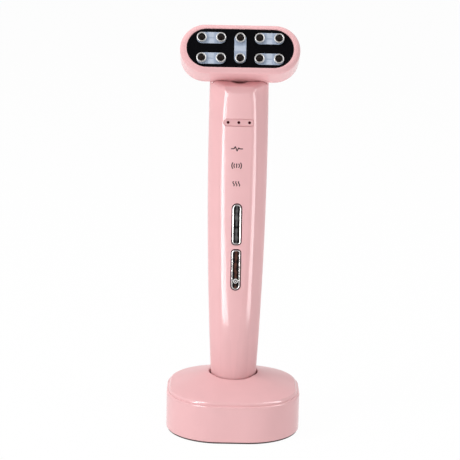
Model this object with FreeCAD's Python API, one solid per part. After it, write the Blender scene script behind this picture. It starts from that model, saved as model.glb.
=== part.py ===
import FreeCAD, Part
import math
import os

from FreeCAD import Vector

# An upright eye massager wand standing in its square charging stand.
# Millimetres. The origin is the middle of the stand's underside, +Z is up
# and the front of the wand faces -Y.

# Stand: driving sizes
STAND_SIDE = 55.5
STAND_CORNER = 20.0
STAND_WALL = 2.0
STAND_BODY_HEIGHT = 14.5
BODY_EDGE_ROUND = 0.7
PAD_HEIGHT = 0.7
PAD_INSET = 1.5
PLATE_THICKNESS = 2.0
COVER_LEDGE = 0.7
COVER_EDGE_ROUND = 0.4
COVER_HEIGHT = 8.6
COVER_WALL = 1.8
COVER_TONGUE = 3.0
COVER_TONGUE_WALL = 1.2
DOME_PLAN_POWER = 1.3
DOME_RISE_POWER = 1.4
DOME_STATIONS = 6
COLLAR_WALL = 1.4
COLLAR_LIFT = 1.0
SOCKET_CLEARANCE = 0.4
POST_INSET = 11.25
POST_DIAMETER = 5.0
BLOCK_WIDTH = 16.0
BLOCK_DEPTH = 12.0
BLOCK_HEIGHT = 5.3
BALLAST_WIDTH = 11.0
BALLAST_HEIGHT = 4.5
BALLAST_GAP = 0.5
BALLAST_CORNER = 2.0

# Charging contacts and socket: driving sizes
PIN_SPREAD = 9.0
PIN_DIAMETER = 2.0
PIN_RISE = 0.8
PIN_FLANGE_DIAMETER = 2.9
PIN_FLANGE_HEIGHT = 0.8
PIN_GUIDE = 1.0
SPRING_WIRE = 0.25
SPRING_TURNS = 5
CONTACT_DIAMETER = 4.0
CONTACT_THICKNESS = 1.0
STAND_BOARD_WIDTH = 18.0
STAND_BOARD_LENGTH = 13.5
STAND_BOARD_LIFT = 1.5
STAND_BOARD_GAP = 0.6
USB_WIDTH = 8.94
USB_HEIGHT = 3.2
USB_LENGTH = 7.2
USB_WALL = 0.3
USB_SINK = 0.2
TONGUE_WIDTH = 6.7
TONGUE_HEIGHT = 0.7
TONGUE_LENGTH = 4.6

# Handle: driving sizes
HANDLE_LENGTH = 135.0
HANDLE_BOTTOM_HALF = 8.6
HANDLE_WIDEST_HALF = 12.1
HANDLE_WIDEST_AT = 0.817
FACET_DISTANCE = 11.7
FACET_BOTTOM_HALF = 3.9
FACET_WIDEST_HALF = 6.65
FACET_WIDEST_AT = 0.75
EDGE_ROUND_BOTTOM = 5.2
EDGE_ROUND_TOP = 2.2
HANDLE_STATIONS = 8
HANDLE_WALL = 1.6
SHOULDER_START = 3.0
SHOULDER_ROUND = 9.0
BEVEL_RISE = 0.36
BEVEL_ROUND = 2.5
SCOOP_RADIUS = 8.0
SCOOP_RISE = 1.2
SPLIT_PLACE = 1.0
SEAM_WIDTH = 0.2
SEAM_DEPTH = 0.3
CAP_FLANGE = 2.0
CAP_PLUG = 3.0
CAP_SCREW_BACK = 4.4
CAP_SCREW_FRONT = 7.4

# Buttons and indicator: driving sizes
BUTTON_WIDTH = 3.8
BUTTON_LENGTH = 16.95
BUTTON_INNER_CORNER = 1.2
BUTTON_PROUD = 0.25
BUTTON_TRAVEL = 0.35
BUTTON_DISH_RIM = 0.9
BUTTON_DISH_DEPTH = 0.3
BUTTON_BRIDGE = 1.1
POWER_BUTTON_RISE = 61.3
GASKET_WIDTH = 0.42
GASKET_SINK = 0.2
FLANGE_WIDTH = 0.75
FLANGE_THICKNESS = 0.8
SWITCH_SIZE = 4.0
SWITCH_HEIGHT = 1.2
SWITCH_STEM_DIAMETER = 1.6
INDICATOR_DROP = 13.0
INDICATOR_WIDTH = 12.4
INDICATOR_HEIGHT = 3.1
INDICATOR_SINK = 0.35
INDICATOR_THICKNESS = 0.8
LIGHT_PITCH = 4.3
LIGHT_DIAMETER = 1.2

# Inside the handle: driving sizes
BOARD_WIDTH = 11.0
BOARD_THICKNESS = 1.0
BOARD_GAP = 2.5
BOARD_TOP_MARGIN = 3.0
BOARD_BOTTOM_MARGIN = 11.3
BATTERY_LENGTH = 38.0
TRAY_WALL = 0.8
MOTOR_DIAMETER = 7.0
MOTOR_LENGTH = 13.0
MOTOR_PLACE = 4.0
SHAFT_DIAMETER = 1.2
WEIGHT_RADIUS = 2.8
WEIGHT_HEIGHT = 4.0
SLEEVE_WALL = 1.6
CRADLE_WALL = 1.3
RIBBON_WIDTH = 4.0
RIBBON_THICKNESS = 0.3

# Head: driving sizes
HEAD_WIDTH = 48.0
HEAD_HEIGHT = 20.4
HEAD_DEPTH = 16.0
HEAD_TILT = 27.0
HEAD_FORWARD = 10.0
HEAD_RISE = 16.7
HEAD_FRONT_ROUND = 1.8
HEAD_BACK_ROUND = 5.0
HEAD_WALL = 1.8
HEAD_SPLIT = 10.5
HEAD_TONGUE = 1.2
HEAD_TONGUE_WALL = 0.8
STEM_WIDTH = 15.0
STEM_FRONT = 2.5
STEM_BACK = 4.0
STEM_DROP = 9.0
STEM_BORE_WIDTH = 5.0
STEM_BORE_DEPTH = 3.5
NECK_SCREW_SPREAD = 10.4
NECK_SCREW_RISE = 3.5
PANEL_END_BORDER = 2.75
PANEL_BORDER = 2.2
PANEL_THICKNESS = 1.6
PANEL_SINK = 0.3
PANEL_LEDGE = 1.2
LEDGE_THICKNESS = 1.0
ELECTRODE_END_PLACE = 5.85
ELECTRODE_EDGE_PLACE = 3.7
ELECTRODE_DIAMETER = 4.0
ELECTRODE_HOLE = 2.4
ELECTRODE_RISE = 1.0
ELECTRODE_ROUND = 0.3
STUD_SHANK = 1.5
STUD_RISE = 0.45
WINDOW_RADIUS = 2.4
HEATER_THICKNESS = 0.5
BAFFLE_HEIGHT = 2.6
BAFFLE_MARGIN = 0.4
LED_BOARD_THICKNESS = 1.0
LED_BOARD_GAP = 0.6
LED_BOSS_DIAMETER = 2.6
LED_WIDTH = 1.6
LED_DEPTH = 1.2
LED_HEIGHT = 0.7

# Screws and fits used all over: driving sizes
SCREW_DIAMETER = 2.0
SCREW_HEAD_DIAMETER = 3.6
SCREW_HEAD_HEIGHT = 1.2
SCREW_LENGTH = 5.0
SMALL_SCREW_DIAMETER = 1.2
SMALL_SCREW_HEAD_DIAMETER = 2.2
SMALL_SCREW_HEAD_HEIGHT = 0.7
SMALL_SCREW_LENGTH = 2.6
BOSS_DIAMETER = 4.0
SLIDE_FIT = 0.08
CLOSE_FIT = 0.05
LOOSE_FIT = 0.1
REACH = 200.0
TINY = 0.01

# Levels and places that follow from the driving sizes
plate_top = PAD_HEIGHT + PLATE_THICKNESS
wall_top = PAD_HEIGHT + STAND_BODY_HEIGHT
wand_bottom = plate_top + BLOCK_HEIGHT
shell_bottom = wand_bottom + CAP_FLANGE
cap_post_top = shell_bottom + CAP_PLUG + LOOSE_FIT + SCREW_LENGTH
handle_top = wand_bottom + HANDLE_LENGTH
shoulder_z = handle_top + SHOULDER_START
stem_bottom = handle_top - STEM_DROP
inner_facet = FACET_DISTANCE - HANDLE_WALL
board_front = inner_facet - BOARD_GAP
slot_margin = GASKET_WIDTH + CLOSE_FIT
slot_length = BUTTON_LENGTH + 2 * slot_margin
power_button_z = wand_bottom + POWER_BUTTON_RISE
mode_button_z = power_button_z + slot_length + BUTTON_BRIDGE
indicator_z = handle_top - INDICATOR_DROP
board_top = indicator_z + BOARD_TOP_MARGIN
board_bottom = power_button_z - BOARD_BOTTOM_MARGIN
stand_half = STAND_SIDE / 2
inner_half = stand_half - STAND_WALL
inner_corner = STAND_CORNER - STAND_WALL
post_place = stand_half - POST_INSET
stand_board_end = inner_half - STAND_BOARD_GAP
stand_board_start = stand_board_end - STAND_BOARD_LENGTH
up = Vector(0, 0, 1)
backward = Vector(0, 1, 0)
forward = Vector(0, -1, 0)
board_screw_heights = (
    mode_button_z + slot_length / 2 + BOSS_DIAMETER,
    indicator_z - 2 * BOSS_DIAMETER,
)


def box(x_low, x_high, y_low, y_high, z_low, z_high):
    """Return a block between two corners."""
    size = Vector(x_high - x_low, y_high - y_low, z_high - z_low)
    return Part.makeBox(size.x, size.y, size.z, Vector(x_low, y_low, z_low))


def rod(diameter, start, direction, length):
    """Return a round bar from a point along a direction."""
    return Part.makeCylinder(diameter / 2, length, start, direction)


def rounded_outline(half_x, half_y, corner, z):
    """Return a closed rectangle with round corners, of four lines and four arcs."""
    corner = min(corner, half_x - TINY, half_y - TINY)
    straight_x = half_x - corner
    straight_y = half_y - corner
    diagonal = corner * math.sqrt(0.5)
    edges = []
    ends = []
    for turn_x, turn_y in ((1, -1), (1, 1), (-1, 1), (-1, -1)):
        centre = Vector(turn_x * straight_x, turn_y * straight_y, z)
        side_x = centre + Vector(turn_x * corner, 0, 0)
        side_y = centre + Vector(0, turn_y * corner, 0)
        middle = centre + Vector(turn_x * diagonal, turn_y * diagonal, 0)
        first, last = (side_y, side_x) if turn_x * turn_y < 0 else (side_x, side_y)
        ends.append((first, middle, last))
    for index, (first, middle, last) in enumerate(ends):
        edges.append(Part.Arc(first, middle, last).toShape())
        following = ends[(index + 1) % len(ends)][0]
        edges.append(Part.LineSegment(last, following).toShape())
    return Part.Wire(edges)


def rounded_block(half_x, half_y, corner, z_low, z_high):
    """Return an upright block with a round-cornered plan."""
    face = Part.Face(rounded_outline(half_x, half_y, corner, z_low))
    return face.extrude(Vector(0, 0, z_high - z_low))


def pill_block(length, width, z_low, z_high):
    """Return an upright block with a pill-shaped plan, long along X."""
    return rounded_block(length / 2, width / 2, width / 2, z_low, z_high)


def edges_at(shape, z):
    """Return the edges of a shape that lie flat at height z."""
    flat = []
    for edge in shape.Edges:
        bounds = edge.BoundBox
        if abs(bounds.ZMin - z) < TINY and abs(bounds.ZMax - z) < TINY:
            flat.append(edge)
    return flat


def tilted(point, lean):
    """Return a placement whose local +Z looks to the front, leaning up by lean degrees."""
    return FreeCAD.Placement(point, FreeCAD.Rotation(Vector(1, 0, 0), 90 - lean))


def placed(shape, placement):
    """Return a copy of a shape moved to a placement."""
    moved = shape.copy()
    moved.Placement = placement.multiply(moved.Placement)
    return moved


def on_facet(shape, z):
    """Return a shape, drawn with +Z outward, moved to the handle's front facet at height z."""
    return placed(shape, tilted(Vector(0, -FACET_DISTANCE, z), 0))


def on_face(shape):
    """Return a shape, drawn with +Z outward, moved to the front of the tilted head."""
    return placed(shape, tilted(Vector(0, -HEAD_FORWARD, handle_top + HEAD_RISE), HEAD_TILT))


def screw(seat, direction, diameter, head_diameter, head_height, length):
    """Return a pan-head screw whose head stands on a seat and whose shank runs along direction."""
    head = rod(head_diameter, seat, direction * -1, head_height)
    slot = rod(diameter, seat - direction * head_height, direction, head_height / 2)
    shank = rod(diameter, seat, direction, length)
    return head.fuse(shank).cut(slot).removeSplitter()


def large_screw(seat, direction):
    """Return one of the screws that hold the housings."""
    return screw(seat, direction, SCREW_DIAMETER, SCREW_HEAD_DIAMETER, SCREW_HEAD_HEIGHT, SCREW_LENGTH)


def small_screw(seat, direction):
    """Return one of the screws that hold the boards."""
    return screw(
        seat,
        direction,
        SMALL_SCREW_DIAMETER,
        SMALL_SCREW_HEAD_DIAMETER,
        SMALL_SCREW_HEAD_HEIGHT,
        SMALL_SCREW_LENGTH,
    )


def screw_hole(diameter, seat, direction, length):
    """Return the hole that clears a screw's shank, starting just before its seat."""
    return rod(diameter + 2 * LOOSE_FIT, seat - direction * TINY, direction, length + LOOSE_FIT + TINY)


# Handle: the outline that every piece of the wand and its socket shares

def swell(share, bottom, widest, widest_at):
    """Return a size that grows along the handle to its widest place and eases off above it."""
    return widest - (widest - bottom) * ((share - widest_at) / widest_at) ** 2


def handle_half(z):
    """Return half the handle's width at height z."""
    share = (z - wand_bottom) / HANDLE_LENGTH
    return swell(share, HANDLE_BOTTOM_HALF, HANDLE_WIDEST_HALF, HANDLE_WIDEST_AT)


def handle_outline(z, inset):
    """Return the handle's outline at height z, moved in by inset: a round back and a front facet."""
    share = (z - wand_bottom) / HANDLE_LENGTH
    half = handle_half(z)
    corner = swell(share, FACET_BOTTOM_HALF, FACET_WIDEST_HALF, FACET_WIDEST_AT)
    edge_round = EDGE_ROUND_BOTTOM + (EDGE_ROUND_TOP - EDGE_ROUND_BOTTOM) * share
    lean = math.asin(half / math.hypot(corner, FACET_DISTANCE)) - math.atan2(corner, FACET_DISTANCE)
    half_turn = (math.pi / 2 - lean) / 2
    radius = half - inset
    front = FACET_DISTANCE - inset
    corner = corner - inset * math.tan(half_turn)
    edge_round = max(edge_round - inset, LOOSE_FIT)
    cut = edge_round * math.tan(half_turn)
    flat = corner - cut
    middle_angle = (math.pi / 2 + lean) / 2
    back_angle = (math.pi / 2 - lean) / 2

    def at(x, y):
        return Vector(x, y, z)

    def side(sign):
        facet_end = at(sign * flat, -front)
        arc_middle = at(
            sign * (flat + edge_round * math.cos(middle_angle)),
            -front + edge_round - edge_round * math.sin(middle_angle),
        )
        arc_end = at(sign * (corner + cut * math.sin(lean)), -front + cut * math.cos(lean))
        touch = at(sign * radius * math.cos(lean), -radius * math.sin(lean))
        back_middle = at(sign * radius * math.cos(back_angle), radius * math.sin(back_angle))
        return facet_end, arc_middle, arc_end, touch, back_middle

    right = side(1)
    left = side(-1)
    back = at(0, radius)
    edges = [
        Part.LineSegment(left[0], right[0]).toShape(),
        Part.Arc(right[0], right[1], right[2]).toShape(),
        Part.LineSegment(right[2], right[3]).toShape(),
        Part.Arc(right[3], right[4], back).toShape(),
        Part.Arc(back, left[4], left[3]).toShape(),
        Part.LineSegment(left[3], left[2]).toShape(),
        Part.Arc(left[2], left[1], left[0]).toShape(),
    ]
    return Part.Wire(edges)


def handle_length(z_low, z_high, inset):
    """Return a length of the handle, moved in by inset, as one solid."""
    step = (z_high - z_low) / (HANDLE_STATIONS - 1)
    outlines = [handle_outline(z_low + index * step, inset) for index in range(HANDLE_STATIONS)]
    return Part.makeLoft(outlines, True, False)


def shoulder(inset):
    """Return the round top at the back of the handle, moved in by inset."""
    outside = handle_half(shoulder_z) - inset
    rounding = SHOULDER_ROUND - inset
    flat = outside - rounding
    swing = rounding * math.sqrt(0.5)
    low_axis = Vector(0, 0, shoulder_z)
    low_rim = Vector(outside, 0, shoulder_z)
    arc_middle = Vector(flat + swing, 0, shoulder_z + swing)
    arc_top = Vector(flat, 0, shoulder_z + rounding)
    top_axis = Vector(0, 0, shoulder_z + rounding)
    profile = Part.Wire([
        Part.LineSegment(low_axis, low_rim).toShape(),
        Part.Arc(low_rim, arc_middle, arc_top).toShape(),
        Part.LineSegment(arc_top, top_axis).toShape(),
        Part.LineSegment(top_axis, low_axis).toShape(),
    ])
    return Part.Face(profile).revolve(Vector(0, 0, 0), up, 360)


def handle_solid(z_low, inset):
    """Return the handle with its round shoulder, from z_low up, moved in by inset."""
    return handle_length(z_low, shoulder_z, inset).fuse(shoulder(inset)).removeSplitter()


def bevel_tool():
    """Return what is cut off the handle's front under the head: a bevel and a scoop."""
    seat_back = -STEM_FRONT - 2 * LOOSE_FIT
    slope = math.atan(BEVEL_RISE)
    half_turn = (math.pi / 2 - slope) / 2
    cut = BEVEL_ROUND * math.tan(half_turn)
    low = Vector(0, -FACET_DISTANCE, handle_top - cut)
    centre = low + Vector(0, BEVEL_ROUND, 0)
    middle_angle = half_turn
    arc_middle = centre + Vector(
        0, -BEVEL_ROUND * math.cos(middle_angle), BEVEL_ROUND * math.sin(middle_angle)
    )
    arc_end = Vector(
        0, -FACET_DISTANCE + cut * math.cos(slope), handle_top + cut * math.sin(slope)
    )
    bevel_back = Vector(0, seat_back, handle_top + BEVEL_RISE * (seat_back + FACET_DISTANCE))
    top_back = Vector(0, seat_back, shoulder_z + REACH)
    top_front = Vector(0, -REACH, shoulder_z + REACH)
    low_front = Vector(0, -REACH, low.z)
    profile = Part.Wire([
        Part.LineSegment(low_front, low).toShape(),
        Part.Arc(low, arc_middle, arc_end).toShape(),
        Part.LineSegment(arc_end, bevel_back).toShape(),
        Part.LineSegment(bevel_back, top_back).toShape(),
        Part.LineSegment(top_back, top_front).toShape(),
        Part.LineSegment(top_front, low_front).toShape(),
    ])
    bevel = Part.Face(profile).extrude(Vector(REACH, 0, 0))
    bevel.translate(Vector(-REACH / 2, 0, 0))
    scoop_start = Vector(0, -REACH, handle_top + SCOOP_RISE + SCOOP_RADIUS)
    scoop = rod(2 * SCOOP_RADIUS, scoop_start, backward, REACH + seat_back)
    return bevel.fuse(scoop)


def handle_cavity(inset):
    """Return the hollow of the handle, open at the top behind the front bevel."""
    cavity = handle_solid(shell_bottom - CAP_FLANGE, inset)
    roof = box(
        -REACH, REACH, -REACH, -STEM_FRONT - 2 * LOOSE_FIT, handle_top - HANDLE_WALL / 2, shoulder_z + REACH
    )
    return cavity.cut(roof)


def half_space(front):
    """Return the space in front of, or behind, the plane where the two handle shells meet."""
    y_low = -REACH if front else SPLIT_PLACE
    y_high = SPLIT_PLACE if front else REACH
    return box(-REACH, REACH, y_low, y_high, -REACH, 2 * REACH)


# Head: the block that both head shells are cut from, and the places on its face
panel_width = HEAD_WIDTH - 2 * PANEL_END_BORDER
panel_height = HEAD_HEIGHT - 2 * PANEL_BORDER
electrode_pitch = (panel_width - 2 * ELECTRODE_END_PLACE) / 4
electrode_row = panel_height / 2 - ELECTRODE_EDGE_PLACE


def head_block(inset):
    """Return the pill-shaped head, in the face's own axes, moved in by inset."""
    depth = HEAD_DEPTH - inset
    block = pill_block(HEAD_WIDTH - 2 * inset, HEAD_HEIGHT - 2 * inset, -depth, -inset)
    block = block.makeFillet(HEAD_BACK_ROUND - inset, edges_at(block, -depth))
    return block.makeFillet(HEAD_FRONT_ROUND, edges_at(block, -inset))


def window_places():
    """Return the middle and the direction of each light window, by name."""
    side = 1.5 * electrode_pitch
    return {
        "upper_left": (-side, electrode_row, True),
        "lower_left": (-side, -electrode_row, True),
        "middle": (0, 0, False),
        "upper_right": (side, electrode_row, True),
        "lower_right": (side, -electrode_row, True),
    }


def electrode_places():
    """Return the middles of the ten electrodes on the face."""
    return [
        (column * electrode_pitch, row * electrode_row)
        for row in (1, -1)
        for column in (-2, -1, 0, 1, 2)
    ]


def window_shape(place, radius, z_low, z_high):
    """Return a pill the size of a light window, at its place on the face."""
    middle_x, middle_y, lying = place
    span = electrode_pitch if lying else 2 * electrode_row
    pill = pill_block(span + 2 * radius, 2 * radius, z_low, z_high)
    if not lying:
        pill.rotate(Vector(0, 0, 0), up, 90)
    pill.translate(Vector(middle_x, middle_y, 0))
    return pill


panel_back = -PANEL_SINK - PANEL_THICKNESS
heater_back = panel_back - HEATER_THICKNESS
baffle_back = heater_back - BAFFLE_HEIGHT
led_board_back = baffle_back - LED_BOARD_THICKNESS
ledge_width = panel_width - 2 * PANEL_LEDGE
ledge_height = panel_height - 2 * PANEL_LEDGE
head_hollow_width = HEAD_WIDTH - 2 * HEAD_WALL
head_hollow_height = HEAD_HEIGHT - 2 * HEAD_WALL
led_boss_place = head_hollow_width / 2 - LED_BOARD_GAP - LED_BOSS_DIAMETER / 2


# Stand pieces

def dome(inset):
    """Return the soft dome of the stand's cover, moved in by inset, from the ledge up."""
    base_half = stand_half - COVER_LEDGE - inset
    base_corner = STAND_CORNER - COVER_LEDGE - inset
    height = COVER_HEIGHT - inset
    top_half = HANDLE_BOTTOM_HALF - inset / 2
    outlines = []
    for index in range(DOME_STATIONS):
        share = index / (DOME_STATIONS - 1)
        turn = share * math.acos((top_half / base_half) ** (DOME_PLAN_POWER / 2))
        half = base_half * math.cos(turn) ** (2 / DOME_PLAN_POWER)
        rise = height * math.sin(turn) ** (2 / DOME_RISE_POWER)
        squareness = (half - top_half) / (base_half - top_half)
        corner = half - (base_half - base_corner) * half / base_half * squareness
        outlines.append(rounded_outline(half, half, corner, wall_top + rise))
    return Part.makeLoft(outlines, True, False)


def post_corners():
    """Return the places of the four screw posts."""
    return [(x * post_place, y * post_place) for x in (-1, 1) for y in (-1, 1)]


def stand_cover():
    """Pink domed cover with the wand's socket, four screw posts and a tongue into the wall ring."""
    outside = dome(0)
    outside = outside.makeFillet(COVER_EDGE_ROUND, edges_at(outside, wall_top))
    hollow = dome(COVER_WALL)
    shell = outside.cut(hollow)
    tongue_half = inner_half - LOOSE_FIT
    tongue_corner = inner_corner - LOOSE_FIT
    tongue_bottom = wall_top - COVER_TONGUE
    tongue = rounded_block(tongue_half, tongue_half, tongue_corner, tongue_bottom, wall_top + COVER_WALL)
    tongue_bore = rounded_block(
        tongue_half - COVER_TONGUE_WALL,
        tongue_half - COVER_TONGUE_WALL,
        tongue_corner - COVER_TONGUE_WALL,
        tongue_bottom,
        wall_top + COVER_WALL,
    )
    tongue_lid = box(-REACH, REACH, -REACH, REACH, tongue_bottom, wall_top)
    tongue = tongue.cut(tongue_bore)
    tongue = tongue.common(outside.fuse(tongue_lid))
    shell = shell.fuse(tongue)
    collar_bottom = wand_bottom + COLLAR_LIFT
    collar_top = wall_top + COVER_HEIGHT + COVER_WALL
    collar = handle_length(collar_bottom, collar_top, -SOCKET_CLEARANCE - COLLAR_WALL)
    below = box(-REACH, REACH, -REACH, REACH, collar_bottom, wall_top)
    inside = outside.fuse(below)
    shell = shell.fuse(collar.common(inside))
    post_room = outside.fuse(box(-REACH, REACH, -REACH, REACH, plate_top, wall_top))
    for x, y in post_corners():
        post = rod(POST_DIAMETER, Vector(x, y, plate_top), up, collar_top - plate_top)
        shell = shell.fuse(post.common(post_room))
    socket = handle_length(collar_bottom - TINY, collar_top, -SOCKET_CLEARANCE)
    shell = shell.cut(socket)
    for x, y in post_corners():
        seat = Vector(x, y, plate_top)
        shell = shell.cut(screw_hole(SCREW_DIAMETER, seat, up, SCREW_LENGTH))
    return shell.removeSplitter()


def usb_middle():
    """Return the height of the middle of the charging socket."""
    return plate_top + STAND_BOARD_LIFT + BOARD_THICKNESS + USB_HEIGHT / 2


def usb_pill(width, height, y_low, y_high):
    """Return a lying pill at the charging socket's height."""
    pill = pill_block(width, height, -y_high, -y_low)
    return placed(pill, tilted(Vector(0, 0, usb_middle()), 0))


def stand_body():
    """Pink wall ring of the stand, with round edges and the socket's hole in its back."""
    body = rounded_block(stand_half, stand_half, STAND_CORNER, PAD_HEIGHT, wall_top)
    body = body.makeFillet(BODY_EDGE_ROUND, edges_at(body, wall_top))
    body = body.makeFillet(BODY_EDGE_ROUND / 2, edges_at(body, PAD_HEIGHT))
    bore = rounded_block(inner_half, inner_half, inner_corner, PAD_HEIGHT - TINY, wall_top + TINY)
    hole = usb_pill(USB_WIDTH + 2 * LOOSE_FIT, USB_HEIGHT + 2 * LOOSE_FIT, 0, REACH)
    return body.cut(bore).cut(hole)


def bottom_plate():
    """Dark plate that closes the stand from below, with rails for the charging board."""
    half = inner_half - LOOSE_FIT
    corner = inner_corner - LOOSE_FIT
    plate = rounded_block(half, half, corner, PAD_HEIGHT, plate_top)
    rail_top = plate_top + STAND_BOARD_LIFT
    for side in (-1, 1):
        middle = side * (STAND_BOARD_WIDTH / 2 - STAND_WALL)
        rail = box(
            middle - STAND_WALL / 2,
            middle + STAND_WALL / 2,
            stand_board_start,
            stand_board_end - STAND_WALL,
            PAD_HEIGHT,
            rail_top,
        )
        plate = plate.fuse(rail)
    for x, y in post_corners():
        seat = Vector(x, y, PAD_HEIGHT + SCREW_HEAD_HEIGHT)
        head_start = Vector(x, y, 0)
        plate = plate.cut(screw_hole(SCREW_DIAMETER, seat, up, PLATE_THICKNESS))
        plate = plate.cut(screw_hole(SCREW_HEAD_DIAMETER, head_start, up, seat.z - LOOSE_FIT))
    return plate.removeSplitter()


def anti_slip_pad():
    """Soft dark pad under the stand, which also hides the screws."""
    half = stand_half - PAD_INSET
    return rounded_block(half, half, STAND_CORNER - PAD_INSET, 0, PAD_HEIGHT)


def stand_screws():
    """Four screws that pull the cover down onto the bottom plate."""
    seat_z = PAD_HEIGHT + SCREW_HEAD_HEIGHT
    return [large_screw(Vector(x, y, seat_z), up) for x, y in post_corners()]


def ballast_weights():
    """Two steel weights that keep the stand from tipping."""
    weights = []
    inner_edge = BLOCK_WIDTH / 2 + BALLAST_GAP
    half_depth = min(stand_board_start, post_place - POST_DIAMETER / 2) - BALLAST_GAP
    for side in (-1, 1):
        weight = rounded_block(
            BALLAST_WIDTH / 2, half_depth, BALLAST_CORNER, plate_top, plate_top + BALLAST_HEIGHT
        )
        weight.translate(Vector(side * (inner_edge + BALLAST_WIDTH / 2), 0, 0))
        weights.append(weight)
    return weights


pin_places = {"left": -PIN_SPREAD / 2, "right": PIN_SPREAD / 2}
flange_top = wand_bottom - PIN_GUIDE
flange_bottom = flange_top - PIN_FLANGE_HEIGHT


def contact_block():
    """Block that the wand stands on, bored for the two spring pins."""
    block = rounded_block(BLOCK_WIDTH / 2, BLOCK_DEPTH / 2, BALLAST_CORNER, plate_top, wand_bottom)
    for x in pin_places.values():
        low = Vector(x, 0, plate_top)
        guide = rod(PIN_DIAMETER + 2 * SLIDE_FIT, low, up, BLOCK_HEIGHT)
        chamber = rod(PIN_FLANGE_DIAMETER + 2 * SLIDE_FIT, low, up, flange_top - plate_top)
        block = block.cut(guide).cut(chamber)
    return block


def charge_pin(x):
    """Gilt spring pin that reaches up into the wand's underside."""
    low = Vector(x, 0, flange_bottom)
    tip = wand_bottom + PIN_RISE - CLOSE_FIT
    shaft = rod(PIN_DIAMETER, low, up, tip - flange_bottom)
    flange = rod(PIN_FLANGE_DIAMETER, low, up, PIN_FLANGE_HEIGHT - CLOSE_FIT)
    return shaft.fuse(flange).removeSplitter()


def pin_spring(x):
    """Small coil spring under a charging pin."""
    coil_radius = (PIN_FLANGE_DIAMETER - SPRING_WIRE) / 2 - SLIDE_FIT
    low = plate_top + SPRING_WIRE / 2 + CLOSE_FIT
    high = flange_bottom - SPRING_WIRE / 2 - CLOSE_FIT
    helix = Part.makeHelix((high - low) / SPRING_TURNS, high - low, coil_radius)
    start = Vector(coil_radius, 0, 0)
    ring = Part.Wire(Part.makeCircle(SPRING_WIRE / 2, start, backward))
    coil = Part.Wire(helix.Edges).makePipeShell([ring], True, True)
    coil.translate(Vector(x, 0, low))
    return coil


def stand_board():
    """Charging board on the bottom plate's rails."""
    half = STAND_BOARD_WIDTH / 2
    low = plate_top + STAND_BOARD_LIFT
    return box(-half, half, stand_board_start, stand_board_end, low, low + BOARD_THICKNESS)


def usb_shell():
    """Steel shell of the charging socket, open to the back of the stand."""
    mouth = stand_half - USB_SINK
    shell = usb_pill(USB_WIDTH, USB_HEIGHT, mouth - USB_LENGTH, mouth)
    bore = usb_pill(
        USB_WIDTH - 2 * USB_WALL, USB_HEIGHT - 2 * USB_WALL, mouth - USB_LENGTH + USB_WALL, mouth + TINY
    )
    return shell.cut(bore)


def usb_tongue():
    """Contact tongue inside the charging socket."""
    back = stand_half - USB_SINK - USB_LENGTH + USB_WALL
    low = usb_middle() - TONGUE_HEIGHT / 2
    half = TONGUE_WIDTH / 2
    return box(-half, half, back, back + TONGUE_LENGTH, low, low + TONGUE_HEIGHT)


# Handle pieces

def button_block(z, width_change, depth_low, depth_high, upper):
    """Return a pill at a button's place, round at its outer end and squarer beside the other."""
    half_width = BUTTON_WIDTH / 2 + width_change
    half_length = BUTTON_LENGTH / 2 + width_change
    inner_round = BUTTON_INNER_CORNER + width_change
    round_end = rounded_block(half_width, half_length, half_width, depth_low, depth_high)
    square_end = rounded_block(half_width, half_length / 2, inner_round, depth_low, depth_high)
    toward_other = -1 if upper else 1
    square_end.translate(Vector(0, toward_other * half_length / 2, 0))
    return on_facet(round_end.fuse(square_end).removeSplitter(), z)


def neck_screw_places():
    """Return the seats of the two screws that hold the head's neck."""
    z = stem_bottom + NECK_SCREW_RISE
    return [Vector(side * NECK_SCREW_SPREAD / 2, STEM_BACK, z) for side in (-1, 1)]


handle_outside = handle_solid(shell_bottom, 0)
head_clearance = on_face(head_block(-LOOSE_FIT))
handle_outside = handle_outside.cut(head_clearance).cut(bevel_tool())
handle_hollow = handle_cavity(HANDLE_WALL)
handle_walls = handle_outside.cut(handle_hollow)
seam_slab = box(-REACH, REACH, SPLIT_PLACE - SEAM_WIDTH / 2, SPLIT_PLACE + SEAM_WIDTH / 2, 0, 2 * REACH)
seam_groove = seam_slab.cut(handle_solid(shell_bottom - CAP_FLANGE, SEAM_DEPTH))
handle_walls = handle_walls.cut(seam_groove)


def facet_boss(x, z, y_end):
    """Return a round boss from the inside of the front facet back to y_end."""
    start = Vector(x, -inner_facet, z)
    return rod(BOSS_DIAMETER, start, backward, inner_facet + y_end).common(handle_outside)


def cap_post(y, wall_y):
    """Return an upright screw post above the end cap, joined to the handle's wall at wall_y."""
    low = cap_post_top - SCREW_LENGTH
    post = rod(BOSS_DIAMETER, Vector(0, y, low), up, SCREW_LENGTH)
    web = box(-BOSS_DIAMETER / 2, BOSS_DIAMETER / 2, min(y, wall_y), max(y, wall_y), low, cap_post_top)
    return post.fuse(web).common(handle_outside)


def cap_screw_seat(y):
    """Return the seat of an end cap screw."""
    return Vector(0, y, wand_bottom + SCREW_HEAD_HEIGHT)


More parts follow.
